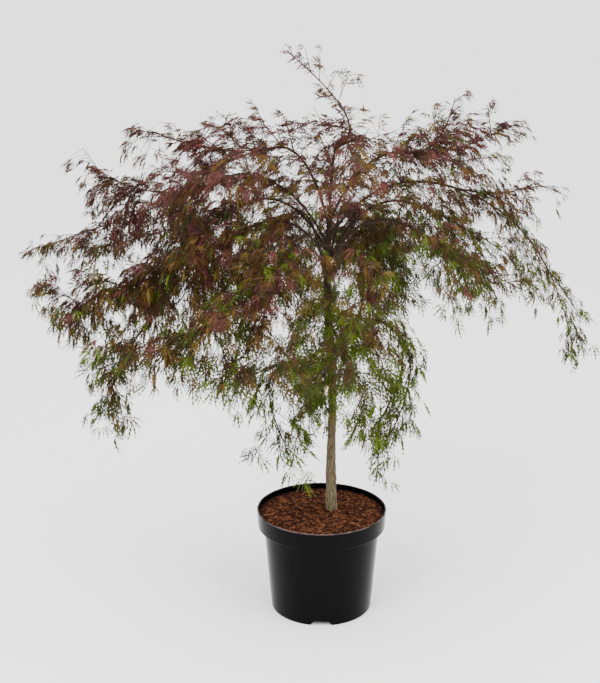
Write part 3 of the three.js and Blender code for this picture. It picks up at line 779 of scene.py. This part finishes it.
def compost_ground(colour):
    """Dark crumbs and redder fibre, mottled at the scale of the chips."""
    paint = Paint("compost_ground", Roughness=1.0, Specular_IOR_Level=0.1)
    grain = paint.noise(scale=260, detail=5, roughness=0.7)
    dark, middle, pale = shades(colour, darker=0.3, paler=1.7)
    paint.set(Base_Color=paint.ramp(grain, (0.35, dark), (0.68, pale), (0.5, middle)))
    paint.bump(paint.noise(scale=420, detail=4), distance=0.002)
    return paint.material


# ---- trunk and boughs ----

LINE_POINTS = 33  # in the line of a bough or a stem
TRUNK_POINTS = 2001  # in the trunk's line, when the place of a bough's foot is looked for
TRUNK_ROWS, TRUNK_COLUMNS = 620, 88
TRUNK_SUNK, SUNK_ROWS = 8 * MM, 7  # how far the trunk's bark goes down into the compost
TRUNK_KNOTS = [  # distance along the trunk, azimuth in radians, and size
    (0.097, 0.0, 0.008), (0.160, 2.4, 0.004), (0.235, 4.6, 0.004), (0.300, 0.9, 0.004),
]
BOUGH_ROWS, BOUGH_COLUMNS = 100, 26
BOUGH_RADII = (2.7, 2.1)  # at its foot and at its tip, in millimetres
BOUGH_FLARE, FLARE_FADE = 1.6 * MM, 16  # added at its foot, and how fast that falls away along it
BOUGH_RELIEF = 0.3  # the depth of its bark, as a share of the trunk's
TRUNK_SEED, BOUGH_SEED = 21, 40
RIDGES = ((11, 3, 0.5), (19, -4, 0.25))  # how many round the limb, how far they wander, and share
WANDER = (0, 1.4, 1.5, 45)  # noises: number, share, and waves round the limb and to the metre along it
GRAIN = (1, 0.5, 9, 160)
SWELLINGS = (2, 0.9, 2, 60)
KNOT_HEIGHT = 0.45  # as a share of its size
KNOT_LENGTH = 1.6  # for its size along the limb, and one radian round it
KNOT_EDGE = 1.6  # how fast its height falls away
BARK_RED = (0.11, 0.072, 0.058)  # its colour as seen
RED_ALOFT = (0.36, 0.70)  # the heights between which the bark turns red
GREEN_BELOW = (0.30, 0.52)  # the heights between which its lichen ends


def trunk_points(count):
    """The trunk's line, from its cut in the compost to its tip."""
    return smooth_line(TRUNK_LINE, count)


def bough_line(name, count=LINE_POINTS):
    """A quadratic that leaves the trunk's middle and arches over to the bough's tip."""
    foot, azimuth, reach, height, lift = BOUGHS[name]
    trunk = trunk_points(TRUNK_POINTS)
    start = trunk[np.argmin(abs(trunk[:, 2] - foot * MM))]
    tip = polar(azimuth, reach, height)
    crown = mix(start, tip, BOUGH_BEND)
    crown[2] = (height + lift) * MM
    return bezier(start, crown, tip, count)


def stem_line(name, count=LINE_POINTS):
    """A quadratic that leaves its bough's tip beside its neighbours and bends over to its own end."""
    own = MASSES[name]
    bough = bough_line(own[0], CURVE_STEPS + 1)
    tip = bough[-1]
    along = unit(bough[-1] - bough[-2])
    across = unit(np.cross(along, UP))

    def turn_to(other):
        """How far to the right of the bough another of its masses lies."""
        flat = polar(*MASSES[other][1:4]) - tip
        flat[2] = 0
        return float(unit(flat) @ across)

    sharing = [other for other in MASSES if MASSES[other][0] == own[0]]
    rank = sum(turn_to(other) < turn_to(name) for other in sharing)
    start = tip + across * (rank - (len(sharing) - 1) / 2) * STEM_PITCH
    end = polar(*own[1:4])
    lead = start + along * np.linalg.norm(end - start) * STEM_LEAD
    return bezier(start, lead, end, count)


def bark_tube(line, radii, columns, relief, seed, knots=()):
    """A limb with the relief of bark: radius r(v) + relief (ridges + grain + swellings), where the ridges
    run along the limb and wander with its length, and each knot adds a round swelling."""
    rows = len(line)
    heading = unit(np.gradient(line, axis=0))
    level = unit(np.cross(line[-1] - line[0], UP) + NUDGE)
    across = unit(level - dot(level, heading) * heading)
    over = np.cross(heading, across)
    angle = np.arange(columns) * math.tau / columns
    length = np.linalg.norm(np.diff(line, axis=0), axis=1).sum() * np.linspace(0, 1, rows)[:, None]
    c, s = np.cos(angle), np.sin(angle)

    def noise(number, share, waves_round, waves_along):
        """One of the bark's noises over the limb's surface."""
        ring = (c * waves_round + 0 * length, s * waves_round + 0 * length)
        return share * ripple(seed + number, *ring, length * waves_along)

    wander = noise(*WANDER)
    ridges = sum(share * np.sin(count * angle + drift * wander) for count, drift, share in RIDGES)
    swell = relief * (ridges + noise(*GRAIN) + noise(*SWELLINGS))
    for place, facing, size in knots:
        round_it = (angle - facing + math.pi) % math.tau - math.pi
        spread = np.hypot((length - place) / (KNOT_LENGTH * size), round_it)
        swell = swell + KNOT_HEIGHT * size * np.exp(-(spread * KNOT_EDGE) ** 2)
    radius = radii[:, None] + swell
    ring = c[None, :, None] * across[:, None] + s[None, :, None] * over[:, None]
    points = (line[:, None] + radius[..., None] * ring).reshape(-1, 3)
    foot = np.arange(columns)[::-1][None]
    tip = np.arange(columns)[None] + (rows - 1) * columns
    return points, [grid_faces(rows, columns), foot, tip]


class MAPLE_OT_trunk(bpy.types.Operator):
    """Make the trunk and the boughs that arch out of it, with the relief of bark"""

    bl_idname = "maple.trunk"
    bl_label = "Trunk and boughs"

    def execute(self, context):
        bark = context.scene.maple_bark
        line = trunk_points(TRUNK_ROWS)
        share = np.linspace(0, 1, TRUNK_ROWS)
        radii = np.interp(share, np.linspace(0, 1, len(TRUNK_RADII)), TRUNK_RADII)
        down = np.linspace(TRUNK_SUNK, 0, SUNK_ROWS + 1)[:-1, None] * -UP
        line = np.vstack([line[0] + down, line])
        radii = np.concatenate([np.full(SUNK_ROWS, radii[0]), radii])
        trunk = bark_tube(line, radii, TRUNK_COLUMNS, bark.relief, TRUNK_SEED, TRUNK_KNOTS)
        material = bark_skin(bark.colour, bark.lichen)
        new_piece("trunk_bark", *trunk, material, "bark", ["trunk"])
        along = np.linspace(0, 1, BOUGH_ROWS)
        radii = mix(*BOUGH_RADII, along) * MM + BOUGH_FLARE * np.exp(-along * FLARE_FADE)
        relief = bark.relief * BOUGH_RELIEF
        boughs = []
        for index, name in enumerate(BOUGHS):
            line = bough_line(name, BOUGH_ROWS)
            boughs.append(bark_tube(line, radii, BOUGH_COLUMNS, relief, BOUGH_SEED + index))
        new_piece("bough_bark", *joined(boughs), material, "bark", list(BOUGHS))
        return {"FINISHED"}


def bark_skin(colour, lichen):
    """Grey-brown bark, streaked along the trunk, redder higher up and greened by lichen at the foot."""
    paint = Paint("bark_skin", Specular_IOR_Level=0.1)
    streaks = paint.noise(scale=190, detail=5, stretch=(1, 1, 0.22), roughness=0.65)
    dark, middle, pale = shades(colour, darker=0.38, paler=1.75)
    wood = paint.ramp(streaks, (0.32, dark), (0.72, pale), (0.5, middle))
    aloft = paint.between(*RED_ALOFT, paint.height() + paint.noise(scale=30, detail=3) * 0.12)
    wood = paint.blend(aloft * 0.9, wood, seen(BARK_RED))
    low = 1 - paint.between(*GREEN_BELOW, paint.height())
    crust = paint.noise(scale=240, detail=5, stretch=(1, 1, 0.28), roughness=0.6)
    wood = paint.blend(low * paint.between(0.40, 0.62, crust) * 0.6, wood, lichen)
    paint.set(Base_Color=wood, Roughness=0.75 + streaks * 0.2)
    paint.bump(paint.noise(scale=600, detail=4, stretch=(1, 1, 0.35)), distance=0.0006)
    return paint.material


# ---- foliage ----

# what a number from the rule of chance is for
PLACE, ROLL, TURN, LENGTH, KEEP, SIZE, YAW, LEAN, CURL, TINT, SHADE, SWING, ROOM = range(1, 14)
BARE_BOUGH = 8  # points of a bough's line before its first twig
MIDDLE = (0.10, 0.34)  # the crown is sparser inside these distances from the pole
MIDDLE_HEIGHT = (0.74, 0.92)  # and above these heights
BARE_LEAVES, BARE_TWIGLETS = 0.45, 0.4  # how full it is there, as a share of how full it is further out

# twigs, whose places are shares of the line of bough and stem, and twiglets, in opposite pairs on the twigs
TWIGS = {"over": (0.02, 0.985), "jitter": 0.5, "roll": 2.4, "level": 0.35, "droop": 0.6, "points": 7}
TWIGLETS = {
    "spacing": 1.3, "first": 0.1, "last": 0.95, "share": 0.8, "turn": (35, 65), "roll": 2.8,
    "length": (0.35, 0.65), "droop": 0.8, "points": 5,
}
PAST_LEAF = 0.03  # how far a twig goes on past its last leaf, as a share of its length
TWIG_KEYS, TWIGLET_KEYS = 40, 10  # how many keys of the rule of chance each has for what it carries

# leaves on the line of the bough and stem, on its twigs and on their twiglets: the first key, the share
# of the length that is bare, and the power of the mass's fullness that gives how many there are
ON_LINE = (600000, 0.0, 0.35)
ON_TWIGS = (5000, 0.2, 0.7)
ON_TWIGLETS = (20000, 0.5, 1.4)
FIRST_TWIGLET = 100  # the first key of a mass's twiglets

LEAF_SIZES = (0.70, 1.08)  # as shares of the lengths in the settings
LARGER_LOW = (1.3, 0.95)  # what they are multiplied by low down and high up
LARGER_HEIGHTS = (0.40, 0.80)
STALK_TURN = (15, 60)  # degrees
STALK_ROLL, LEAF_YAW, LEAF_SWING = 3.0, 3.0, 2.1  # radians from one side to the other
STALK_LIFT, STALK_SAG, STALK_POINTS = 0.25, 0.15, 3  # how far it is drawn up, and sags, and its points
TOP_HEIGHTS = (0.75, 1.02)  # leaves hang below them, and lie flatter above
ONWARD, OUTWARD = 0.9, 0.5  # a leaf points along its twig, outwards, and down: more low down than at
DOWNWARD = (0.7, 0.15)  # the top
LOOK_UP = ((0.2, 0.6), (0.9, 2.2))  # how far its face looks up: the least and the most, low and at the top
CURLS = (0.05, 0.55)  # how far it hangs, for its length
SPREADS = (0.75, 1.1)  # how wide it is, for its full width
REACH_MORE = 12 * MM  # how far a leaf may reach past the boxes of the masses' solids
TWIG_BROWN = (0.20, 0.125, 0.092)
STALK_RED = (0.30, 0.165, 0.11)
STALK_RADIUS = 0.42 * MM
FALL_DOWN = 0.35  # how much of a leaf's fall is also straight down
WOOD = ((2.1, 1.0, 8), (1.05, 0.6, 5), (0.6, 0.4, 4))  # radii in millimetres, and sides: stem, twig, twiglet

SPRAY = 4  # how many neighbouring keys have a family of tints in common
TINT_HEIGHTS = (0.50, 1.06)
SHADY = (0.10, 0.45)  # the distances from the pole between which the shade ends
RIGHT_SIDE = (-0.05, 0.30)
RIGHT_GREEN = (1.7, 0.2)  # how green the right side is, low down and at the top
WARM_BASE, WARM_HIGH, WARM_MOTTLE, WARM_LUCK = -0.01, 0.84, 0.22, 0.75  # what a spray's warmth is made of
COOL_SHADE, COOL_RIGHT = 0.18, 0.32  # and what is taken from it
MOTTLE_SEED, MOTTLE_WAVES = 7, 30
BURGUNDY_OVER, BRONZE_OVER = 0.54, 0.17
DEEP_UNDER, MIDDLE_UNDER = 0.42, 0.86
PAINTED_LIGHT_INSIDE = 0.3  # how much likelier a paler tint is in the shade near the trunk: painted light that lifts that shade


def either_way(span, mass, key, quantity, level=0.5):
    """Numbers by the rule of chance within a span, of which the share under zero is level."""
    return span * (chance(mass, key, quantity) - level)


def within(limits, mass, key, quantity):
    """Numbers between two limits by the rule of chance."""
    return mix(*limits, chance(mass, key, quantity))


def branch(foot, heading, turn, roll, length, droop, steps, sag=0.12):
    """Twigs from feet (n, 3): each heading is turned to one side in the crown's face, rolled about
    itself, and drawn down by the droop; the twig then sags by the square of its length."""
    face = unit(np.cross(heading, np.cross(UP, heading) + NUDGE))
    side = np.cross(face, heading)
    sideways = np.cos(roll)[:, None] * side + np.sin(roll)[:, None] * face
    out = np.cos(turn)[:, None] * heading + np.sin(turn)[:, None] * sideways
    out = unit(out - UP * np.reshape(droop, (-1, 1)))
    t = np.linspace(0, 1, steps)[None, :, None]
    reach = length[:, None, None]
    return foot[:, None] + reach * (t * out[:, None] - t ** 2 * sag * UP)


def pairs_along(paths, spacing, first):
    """Places of opposite buds at equal steps along each path, from a share of its length to its tip:
    the path's number, the share, and the bud's number on that path."""
    lengths = np.linalg.norm(np.diff(paths, axis=1), axis=2).sum(1)
    counts = np.maximum(1, np.round(lengths * (1 - first) / spacing).astype(int))
    path = np.repeat(np.arange(len(paths)), counts)
    bud = np.arange(len(path)) - np.repeat(np.cumsum(counts) - counts, counts)
    share = mix(first, 1.0, (bud + 1) / counts[path])
    return path, share, bud


def on_paths(paths, path, share):
    """Points at shares of the paths' length, and the paths' headings there."""
    place = share * (paths.shape[1] - 1)
    before = np.minimum(place.astype(int), paths.shape[1] - 2)
    step = paths[path, before + 1] - paths[path, before]
    return paths[path, before] + step * (place - before)[:, None], unit(step)


LOBES = {  # angle from the middle lobe: length as a share of it, pairs of teeth, and twist
    0: (1.0, 3, 20), 34: (0.90, 3, 50), -34: (0.90, 3, -50), 70: (0.68, 2, -65), -70: (0.68, 2, 65),
}
LOBE_START = 0.02
LOBE_ROOT = 0.010  # half widths of a lobe at its foot and at its widest, as shares of the leaf's length
LOBE_BELLY = 0.042
BELLY_AT = 0.48
BEND_BACK = 0.30
TEETH_OVER = (0.30, 0.74)  # where a lobe's first and last teeth are
TEETH_SWELL = (0.40, 0.80)  # of a half turn: the part of the sine's arch that their lengths follow
TEETH_EDGE = (0.4, 0.95, 0.1)  # how far out their feet are at the lobe's foot, belly and tip
TOOTH_BASE, TOOTH_LENGTH = 0.09, 0.16  # shares of the leaf's length
TOOTH_SWEEP = math.radians(38)
TOOTH_STAGGER = 0.03  # how much further along one side's teeth are
TOOTH_TAPER = 0.8  # how far out the further end of a tooth's foot is, for one at its nearer end


def leaf_shape():
    """A cut leaf with its middle lobe along +X, from the stalk's end at the origin, one unit long. Each
    lobe is a narrow blade that is widest near its middle, with pairs of slender teeth that sweep towards
    its tip. It is twisted about its own length, and bends back towards the middle lobe. Gives the
    points as distance along, across and above, and the faces."""
    points, quads, triangles = [], [], []
    for angle, (length, teeth, twist) in LOBES.items():
        widest = BELLY_AT * length
        local = [
            (LOBE_START, LOBE_ROOT), (LOBE_START, -LOBE_ROOT),
            (widest, LOBE_BELLY), (widest, -LOBE_BELLY), (length, 0),
        ]
        first = len(points)
        quads.append((first, first + 1, first + 3, first + 2))
        triangles.append((first + 2, first + 3, first + 4))
        order = np.arange(teeth) / max(1, teeth - 1)
        stations = mix(*TEETH_OVER, order) * length
        reach = TOOTH_LENGTH * np.sin(mix(*TEETH_SWELL, order) * math.pi) * length ** 0.5
        edge = LOBE_BELLY * np.interp(stations, [0, widest, length], TEETH_EDGE)
        for side in (1, -1):
            for place, span, y in zip(stations + TOOTH_STAGGER * (side > 0), reach, edge):
                end = place + TOOTH_BASE / 2 + span * math.cos(TOOTH_SWEEP)
                local += [
                    (place, side * y), (place + TOOTH_BASE, side * y * TOOTH_TAPER),
                    (end, side * (y + span * math.sin(TOOTH_SWEEP))),
                ]
                foot = first + len(local) - 3
                triangles.append((foot, foot + 1, foot + 2)[::-side])
        x, y = np.array(local).T
        bent = math.radians(angle) * (1 - BEND_BACK * x / length)
        flat, above = y * math.cos(math.radians(twist)), y * math.sin(math.radians(twist))
        ahead, sideways = x * np.cos(bent) - flat * np.sin(bent), x * np.sin(bent) + flat * np.cos(bent)
        points += list(np.stack([ahead, sideways, above], -1))
    return np.array(points), np.array(quads), np.array(triangles)


def spaced_out(points, cell, rank):
    """Which points are kept so that each cube of a grid holds one at most: the one of least rank."""
    cube = np.floor(points / cell).astype(int)
    order = np.lexsort((rank, cube[:, 2], cube[:, 1], cube[:, 0]))
    is_first = np.ones(len(order), bool)
    is_first[1:] = (np.diff(cube[order], axis=0) != 0).any(1)
    is_kept = np.zeros(len(points), bool)
    is_kept[order[is_first]] = True
    return is_kept


def crowding(points, least):
    """How full the crown is at points, as a share of its fullest: least near the pole, but not low down."""
    reach = np.linalg.norm(points[:, :2] - POLE[:2], axis=1)
    low_down = 1 - smooth(*MIDDLE_HEIGHT, points[:, 2])
    return mix(least, 1, np.maximum(smooth(*MIDDLE, reach), low_down))


def furthest(paths, *carried):
    """The share of each path at which it carries its last leaf or twig, or 0."""
    last = np.zeros(len(paths))
    for path, share in carried:
        np.maximum.at(last, path, share)
    return last


def cut_back(paths, last):
    """Paths drawn back to just past a last share of their length, less those where it is 0."""
    rows = paths.shape[1]
    path = np.repeat(np.arange(len(paths)), rows)
    share = (np.minimum(last + PAST_LEAF, 1)[:, None] * np.linspace(0, 1, rows)).ravel()
    points, _ = on_paths(paths, path, share)
    return points.reshape(paths.shape)[last > 0]


class Foliage:
    """Gathers the twigs and leaves of every mass."""

    def __init__(self, settings):
        self.settings = settings
        self.low, self.high = (np.array(corners) for corners in zip(*(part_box(name) for name in MASSES)))
        self.stems = []
        self.twigs = []
        self.twiglets = []
        self.leaves = []

    def grow(self, index, name):
        """One mass: its stem, twigs by the source's rule at a finer spacing, from the outer part of the
        bough on, twiglets on those, and pairs of leaves on them all."""
        bough, _, _, _, spread, droop, full = MASSES[name]
        stem = stem_line(name)
        self.stems.append(stem)
        line = evenly(np.vstack([bough_line(bough)[BARE_BOUGH:-1], stem]), 2 * LINE_POINTS - 1)
        length = np.linalg.norm(np.diff(line, axis=0), axis=1).sum()
        count = int(round(length / self.settings.twig_spacing))
        keys = np.arange(count)
        jitter = TWIGS["jitter"] * chance(index, keys, PLACE)
        foot, heading = at_share(line, mix(*TWIGS["over"], (keys + jitter) / (count - 0.5)))
        side = np.where(keys % 2, -1, 1)
        turn = side * np.radians(within(TWIG_TURN, index, keys, TURN))
        roll = side * either_way(TWIGS["roll"], index, keys, ROLL, TWIGS["level"])
        reach = spread * MM * within((TWIG_SHORTEST, 1), index, keys, LENGTH)
        twigs = branch(foot, heading, turn, roll, reach, droop * TWIGS["droop"], TWIGS["points"])
        path, share, key, twiglets = self.twiglets_on(index, twigs, keys, reach, droop)
        on_line = self.leaves_on(index, line[None], np.array([0]), ON_LINE, full)
        on_twigs = self.leaves_on(index, twigs, keys * TWIG_KEYS, ON_TWIGS, full)
        on_twiglets = self.leaves_on(index, twiglets, key * TWIGLET_KEYS, ON_TWIGLETS, full)
        last = furthest(twiglets, (on_twiglets["path"], on_twiglets["share"]))
        self.twiglets.append(cut_back(twiglets, last))
        carried = (path, np.where(last > 0, share, 0))
        last = furthest(twigs, (on_twigs["path"], on_twigs["share"]), carried)
        self.twigs.append(cut_back(twigs, last))
        self.leaves += [on_twigs, on_twiglets, on_line]

    def twiglets_on(self, index, twigs, keys, reach, droop):
        """Twiglets in opposite pairs along a mass's twigs: each one's twig, share and key, and its path."""
        spacing = self.settings.leaf_spacing * TWIGLETS["spacing"]
        path, share, bud = (np.repeat(a, 2) for a in pairs_along(twigs, spacing, TWIGLETS["first"]))
        hand = np.tile([1, -1], len(path) // 2)
        key = FIRST_TWIGLET + keys[path] * TWIG_KEYS + bud * 2 + (hand > 0)
        foot, heading = on_paths(twigs, path, share)
        full = TWIGLETS["share"] * crowding(foot, BARE_TWIGLETS)
        is_kept = (chance(index, key, KEEP) < full) & (share < TWIGLETS["last"])
        path, share, hand, key, foot, heading = (a[is_kept] for a in (path, share, hand, key, foot, heading))
        turn = hand * np.radians(within(TWIGLETS["turn"], index, key, TURN))
        roll = either_way(TWIGLETS["roll"], index, key, ROLL)
        reach = reach[path] * within(TWIGLETS["length"], index, key, LENGTH)
        paths = branch(foot, heading, turn, roll, reach, droop * TWIGLETS["droop"], TWIGLETS["points"])
        return path, share, key, paths

    def thin_out(self):
        """Joins the masses' leaves, and keeps those that have room to themselves."""
        leaves = {field: np.concatenate([part[field] for part in self.leaves]) for field in self.leaves[0]}
        rank = chance(leaves["mass"], leaves["key"], ROOM)
        is_kept = spaced_out(leaves["palm"], self.settings.leaf_cell, rank)
        self.leaves = {field: values[is_kept] for field, values in leaves.items()}

    def leaves_on(self, index, paths, key_start, rule, full):
        """Pairs of leaves along a mass's paths: each has a stalk out to one side, and a blade that hangs
        from it and faces outwards. Leaves that reach past the boxes of the masses' solids are left out.
        Of the others chance keeps a share, which is a power of the mass's fullness, and less near the
        pole."""
        foliage = self.settings
        first_key, bare, power = rule
        path, share, bud = (np.repeat(a, 2) for a in pairs_along(paths, foliage.leaf_spacing, bare))
        hand = np.tile([1, -1], len(path) // 2)
        key = first_key + key_start[path] + bud * 2 + (hand > 0)
        foot, heading = on_paths(paths, path, share)
        larger = mix(*LARGER_LOW, smooth(*LARGER_HEIGHTS, foot[:, 2]))
        size = within(LEAF_SIZES, index, key, SIZE) * larger
        roll = either_way(STALK_ROLL, index, key, ROLL)
        turn = hand * np.radians(within(STALK_TURN, index, key, TURN))
        stalk = foliage.stalk_length * size
        stalks = branch(foot, heading, turn, roll, stalk, -STALK_LIFT, STALK_POINTS, STALK_SAG)
        palm = stalks[:, -1]
        outward = palm - POLE
        outward[:, 2] = 0
        outward = unit(outward)
        top = smooth(*TOP_HEIGHTS, palm[:, 2])
        along = unit(heading * ONWARD + outward * OUTWARD - UP * mix(*DOWNWARD, top)[:, None])
        yaw = either_way(LEAF_YAW, index, key, YAW)[:, None]
        look = within([mix(*limits, top) for limits in LOOK_UP], index, key, LEAN)[:, None]
        face = outward * np.cos(yaw) + np.cross(UP, outward) * np.sin(yaw) + UP * look
        face = unit(face - dot(face, along) * along)
        swing = either_way(LEAF_SWING, index, key, SWING)[:, None]
        along = along * np.cos(swing) + np.cross(face, along) * np.sin(swing)
        length = foliage.leaf_length * size
        leaves = {
            "path": path, "share": share, "key": key, "mass": np.full(len(key), index),
            "stalk": stalks, "palm": palm, "along": along, "face": face, "length": length,
            "curl": within(CURLS, index, key, CURL), "spread": within(SPREADS, index, key, SHADE),
        }
        tip = palm + along * length[:, None]
        is_in = (tip[:, None] > self.low - REACH_MORE) & (tip[:, None] < self.high + REACH_MORE)
        is_kept = is_in.all(2).any(1)
        is_kept &= chance(index, key, KEEP) < full ** power * crowding(tip, BARE_LEAVES)
        return {field: values[is_kept] for field, values in leaves.items()}


def tint_of(palm, mass, key):
    """The number of each leaf's tint. A spray is of one family of tints: burgundy is likelier the higher
    it is, green the lower, the nearer the trunk and the further right, and chance turns some sprays to
    their neighbours' family. Each leaf of it is the deep, the middle or the pale one by chance, and near
    the trunk, where the crown's shade falls, likelier a paler one: painted light that lifts that shade."""
    height = smooth(*TINT_HEIGHTS, palm[:, 2])
    shade = 1 - smooth(*SHADY, np.linalg.norm(palm[:, :2] - POLE[:2], axis=1))
    right = smooth(*RIGHT_SIDE, palm[:, 0]) * mix(*RIGHT_GREEN, height)
    mottle = WARM_MOTTLE * ripple(MOTTLE_SEED, *(palm.T * MOTTLE_WAVES))
    luck = either_way(WARM_LUCK, mass, key // SPRAY, TINT)
    warm = height * WARM_HIGH + WARM_BASE - COOL_SHADE * shade - COOL_RIGHT * right + mottle + luck
    family = np.where(warm > BURGUNDY_OVER, 0, np.where(warm > BRONZE_OVER, 1, 2))
    # paler tints near the trunk are painted light that lifts the crown's shade there
    depth = chance(mass, key, SHADE) + PAINTED_LIGHT_INSIDE * shade
    return family * 3 + np.where(depth < DEEP_UNDER, 0, np.where(depth < MIDDLE_UNDER, 1, 2))


class MAPLE_OT_foliage(bpy.types.Operator):
    """Make the stems, twigs, leaf stalks and leaves of every mass of foliage"""

    bl_idname = "maple.foliage"
    bl_label = "Foliage"

    def execute(self, context):
        foliage = Foliage(context.scene.maple_foliage)
        for index, name in enumerate(MASSES):
            foliage.grow(index, name)
        foliage.thin_out()
        self.make_wood(foliage)
        self.make_leaves(foliage)
        return {"FINISHED"}

    def make_wood(self, foliage):
        """Stems, twigs and twiglets as tapering tubes; leaf stalks as finer ones."""
        stems = np.array(foliage.stems)
        back = 2 * stems[:, :1] - stems[:, 1:2]  # each stem starts inside its bough
        stems = np.concatenate([back, stems], 1)
        kinds = (stems, np.concatenate(foliage.twigs), np.concatenate(foliage.twiglets))
        parts = []
        for paths, (foot, tip, sides) in zip(kinds, WOOD):
            radii = np.linspace(foot, tip, paths.shape[1])[None] * MM + np.zeros((len(paths), 1))
            parts.append(tubes(paths, radii, sides))
        new_piece("twigs", *joined(parts), plain("twig_bark", TWIG_BROWN, roughness=0.6), "bark")
        stalks = foliage.leaves["stalk"]
        radii = np.full(stalks.shape[:2], STALK_RADIUS)
        red = plain("stalk_skin", STALK_RED, roughness=0.5)
        new_piece("leaf_stalks", *tubes(stalks, radii, 3), red, "bark")

    def make_leaves(self, foliage):
        """The blades: the leaf's points (x, y, z) go to palm + L (x along + y spread across + z face), less
        a fall of curl (x^2 + y^2) that lets the lobes' tips hang. There is a piece for each tint, and it
        stands for the masses in which its tint is the commonest."""
        fields = ("palm", "along", "face", "length", "curl", "spread", "mass", "key")
        palm, along, face, length, curl, spread, mass, key = (foliage.leaves[field] for field in fields)
        tint = tint_of(palm, mass, key)
        shape, quads, triangles = leaf_shape()
        across = np.cross(face, along)
        length, curl, spread = (each[:, None, None] for each in (length, curl, spread))
        x = shape[:, 0][None, :, None] * length
        y = shape[:, 1][None, :, None] * length * spread
        fall = curl * (x ** 2 + y ** 2) / length
        z = shape[:, 2][None, :, None] * length - fall
        points = palm[:, None] + x * along[:, None] + y * across[:, None]
        points = points + z * face[:, None] - FALL_DOWN * fall * UP
        counts = [np.bincount(tint[mass == index], minlength=len(TINTS)) for index in range(len(MASSES))]
        for number, (name, (slot, colour)) in enumerate(TINTS.items()):
            repeated = copies(points[tint == number], (quads, triangles))
            material = plain(f"leaf_{name}", colour, roughness=0.5, gloss=0.08)
            stands_for = [node for node, count in zip(MASSES, counts) if count.argmax() == number]
            new_piece(f"leaves_{name}", *repeated, material, slot, stands_for, is_smooth=False)


# ---- stage ----

FLOOR_HALF = 90.0
FLOOR_GREY = 0.95
CAMERA_PLACE = (-0.0467, -2.56, 1.351)
VIEW_END = 400
LIGHTS = {  # place, what it looks at, side and power in watts
    "key": ((-1.6, -2.2, 3.0), (0, 0, 0.7), 2.0, 150),
    "fill": ((2.2, -1.6, 1.8), (0, 0, 0.6), 1.8, 70),
}


class MAPLE_OT_stage(bpy.types.Operator):
    """Make the pale floor, the soft light and the camera"""

    bl_idname = "maple.stage"
    bl_label = "Stage"

    def execute(self, context):
        stage = context.scene.maple_stage
        corners = np.array([(-1, -1, 0), (1, -1, 0), (1, 1, 0), (-1, 1, 0)]) * FLOOR_HALF
        pale = Paint("pale_floor", Base_Color=(FLOOR_GREY,) * 3, Roughness=0.9, Specular_IOR_Level=0.1)
        floor = new_piece("floor", corners, [np.array([[0, 1, 2, 3]])], pale.material, None)
        world = bpy.data.worlds.new("studio")
        world.use_nodes = True
        sky = world.node_tree.nodes["Background"]
        sky.inputs["Color"].default_value = (1, 1, 1, 1)
        sky.inputs["Strength"].default_value = stage.light
        context.scene.world = world
        for name, light in LIGHTS.items():
            self.add_light(name, *light)
        camera = bpy.data.cameras.new("camera")
        camera.lens = stage.lens
        camera.clip_end = VIEW_END
        view = bpy.data.objects.new("camera", camera)
        view.location = CAMERA_PLACE
        view.rotation_euler = (math.pi / 2 - stage.tilt, 0, 0)
        context.scene.collection.objects.link(view)
        context.scene.camera = view
        return {"FINISHED"}

    @staticmethod
    def add_light(name, place, target, size, power):
        """A square soft light that looks at a target."""
        lamp = bpy.data.lights.new(name, "AREA")
        lamp.size = size
        lamp.energy = power
        light = bpy.data.objects.new(name, lamp)
        away = unit(np.array(place, float) - np.array(target, float))
        light.location = place
        light.rotation_euler = (math.acos(away[2]), 0, math.atan2(away[0], -away[1]))
        bpy.context.scene.collection.objects.link(light)


class MAPLE_PT_panel(bpy.types.Panel):
    """Lists the pieces and their settings"""

    bl_label = "Potted maple"
    bl_space_type = "VIEW_3D"
    bl_region_type = "UI"
    bl_category = "Maple"

    def draw(self, context):
        for attribute, (settings, operator) in PARTS.items():
            box = self.layout.box()
            box.operator(operator.bl_idname)
            for name in settings.__annotations__:
                box.prop(getattr(context.scene, attribute), name)


PARTS = {  # the name of its settings on the scene, their class, and the operator that reads them
    "maple_stage": (StageSettings, MAPLE_OT_stage),
    "maple_pot": (PotSettings, MAPLE_OT_pot),
    "maple_compost": (CompostSettings, MAPLE_OT_compost),
    "maple_bark": (BarkSettings, MAPLE_OT_trunk),
    "maple_foliage": (FoliageSettings, MAPLE_OT_foliage),
}
CLASSES = (*(cls for pair in PARTS.values() for cls in pair), MAPLE_PT_panel)


def register():
    """Makes the settings and operators known, and puts the settings on the scene."""
    for cls in CLASSES:
        bpy.utils.register_class(cls)
    for attribute, (settings, _) in PARTS.items():
        setattr(bpy.types.Scene, attribute, PointerProperty(type=settings))


def unregister():
    """Takes back what register did."""
    for attribute in PARTS:
        delattr(bpy.types.Scene, attribute)
    for cls in reversed(CLASSES):
        bpy.utils.unregister_class(cls)


def main():
    """Makes the stage and every piece."""
    register()
    bpy.ops.maple.stage()
    bpy.ops.maple.pot()
    bpy.ops.maple.compost()
    bpy.ops.maple.trunk()
    bpy.ops.maple.foliage()


if __name__ == "__main__":
    main()
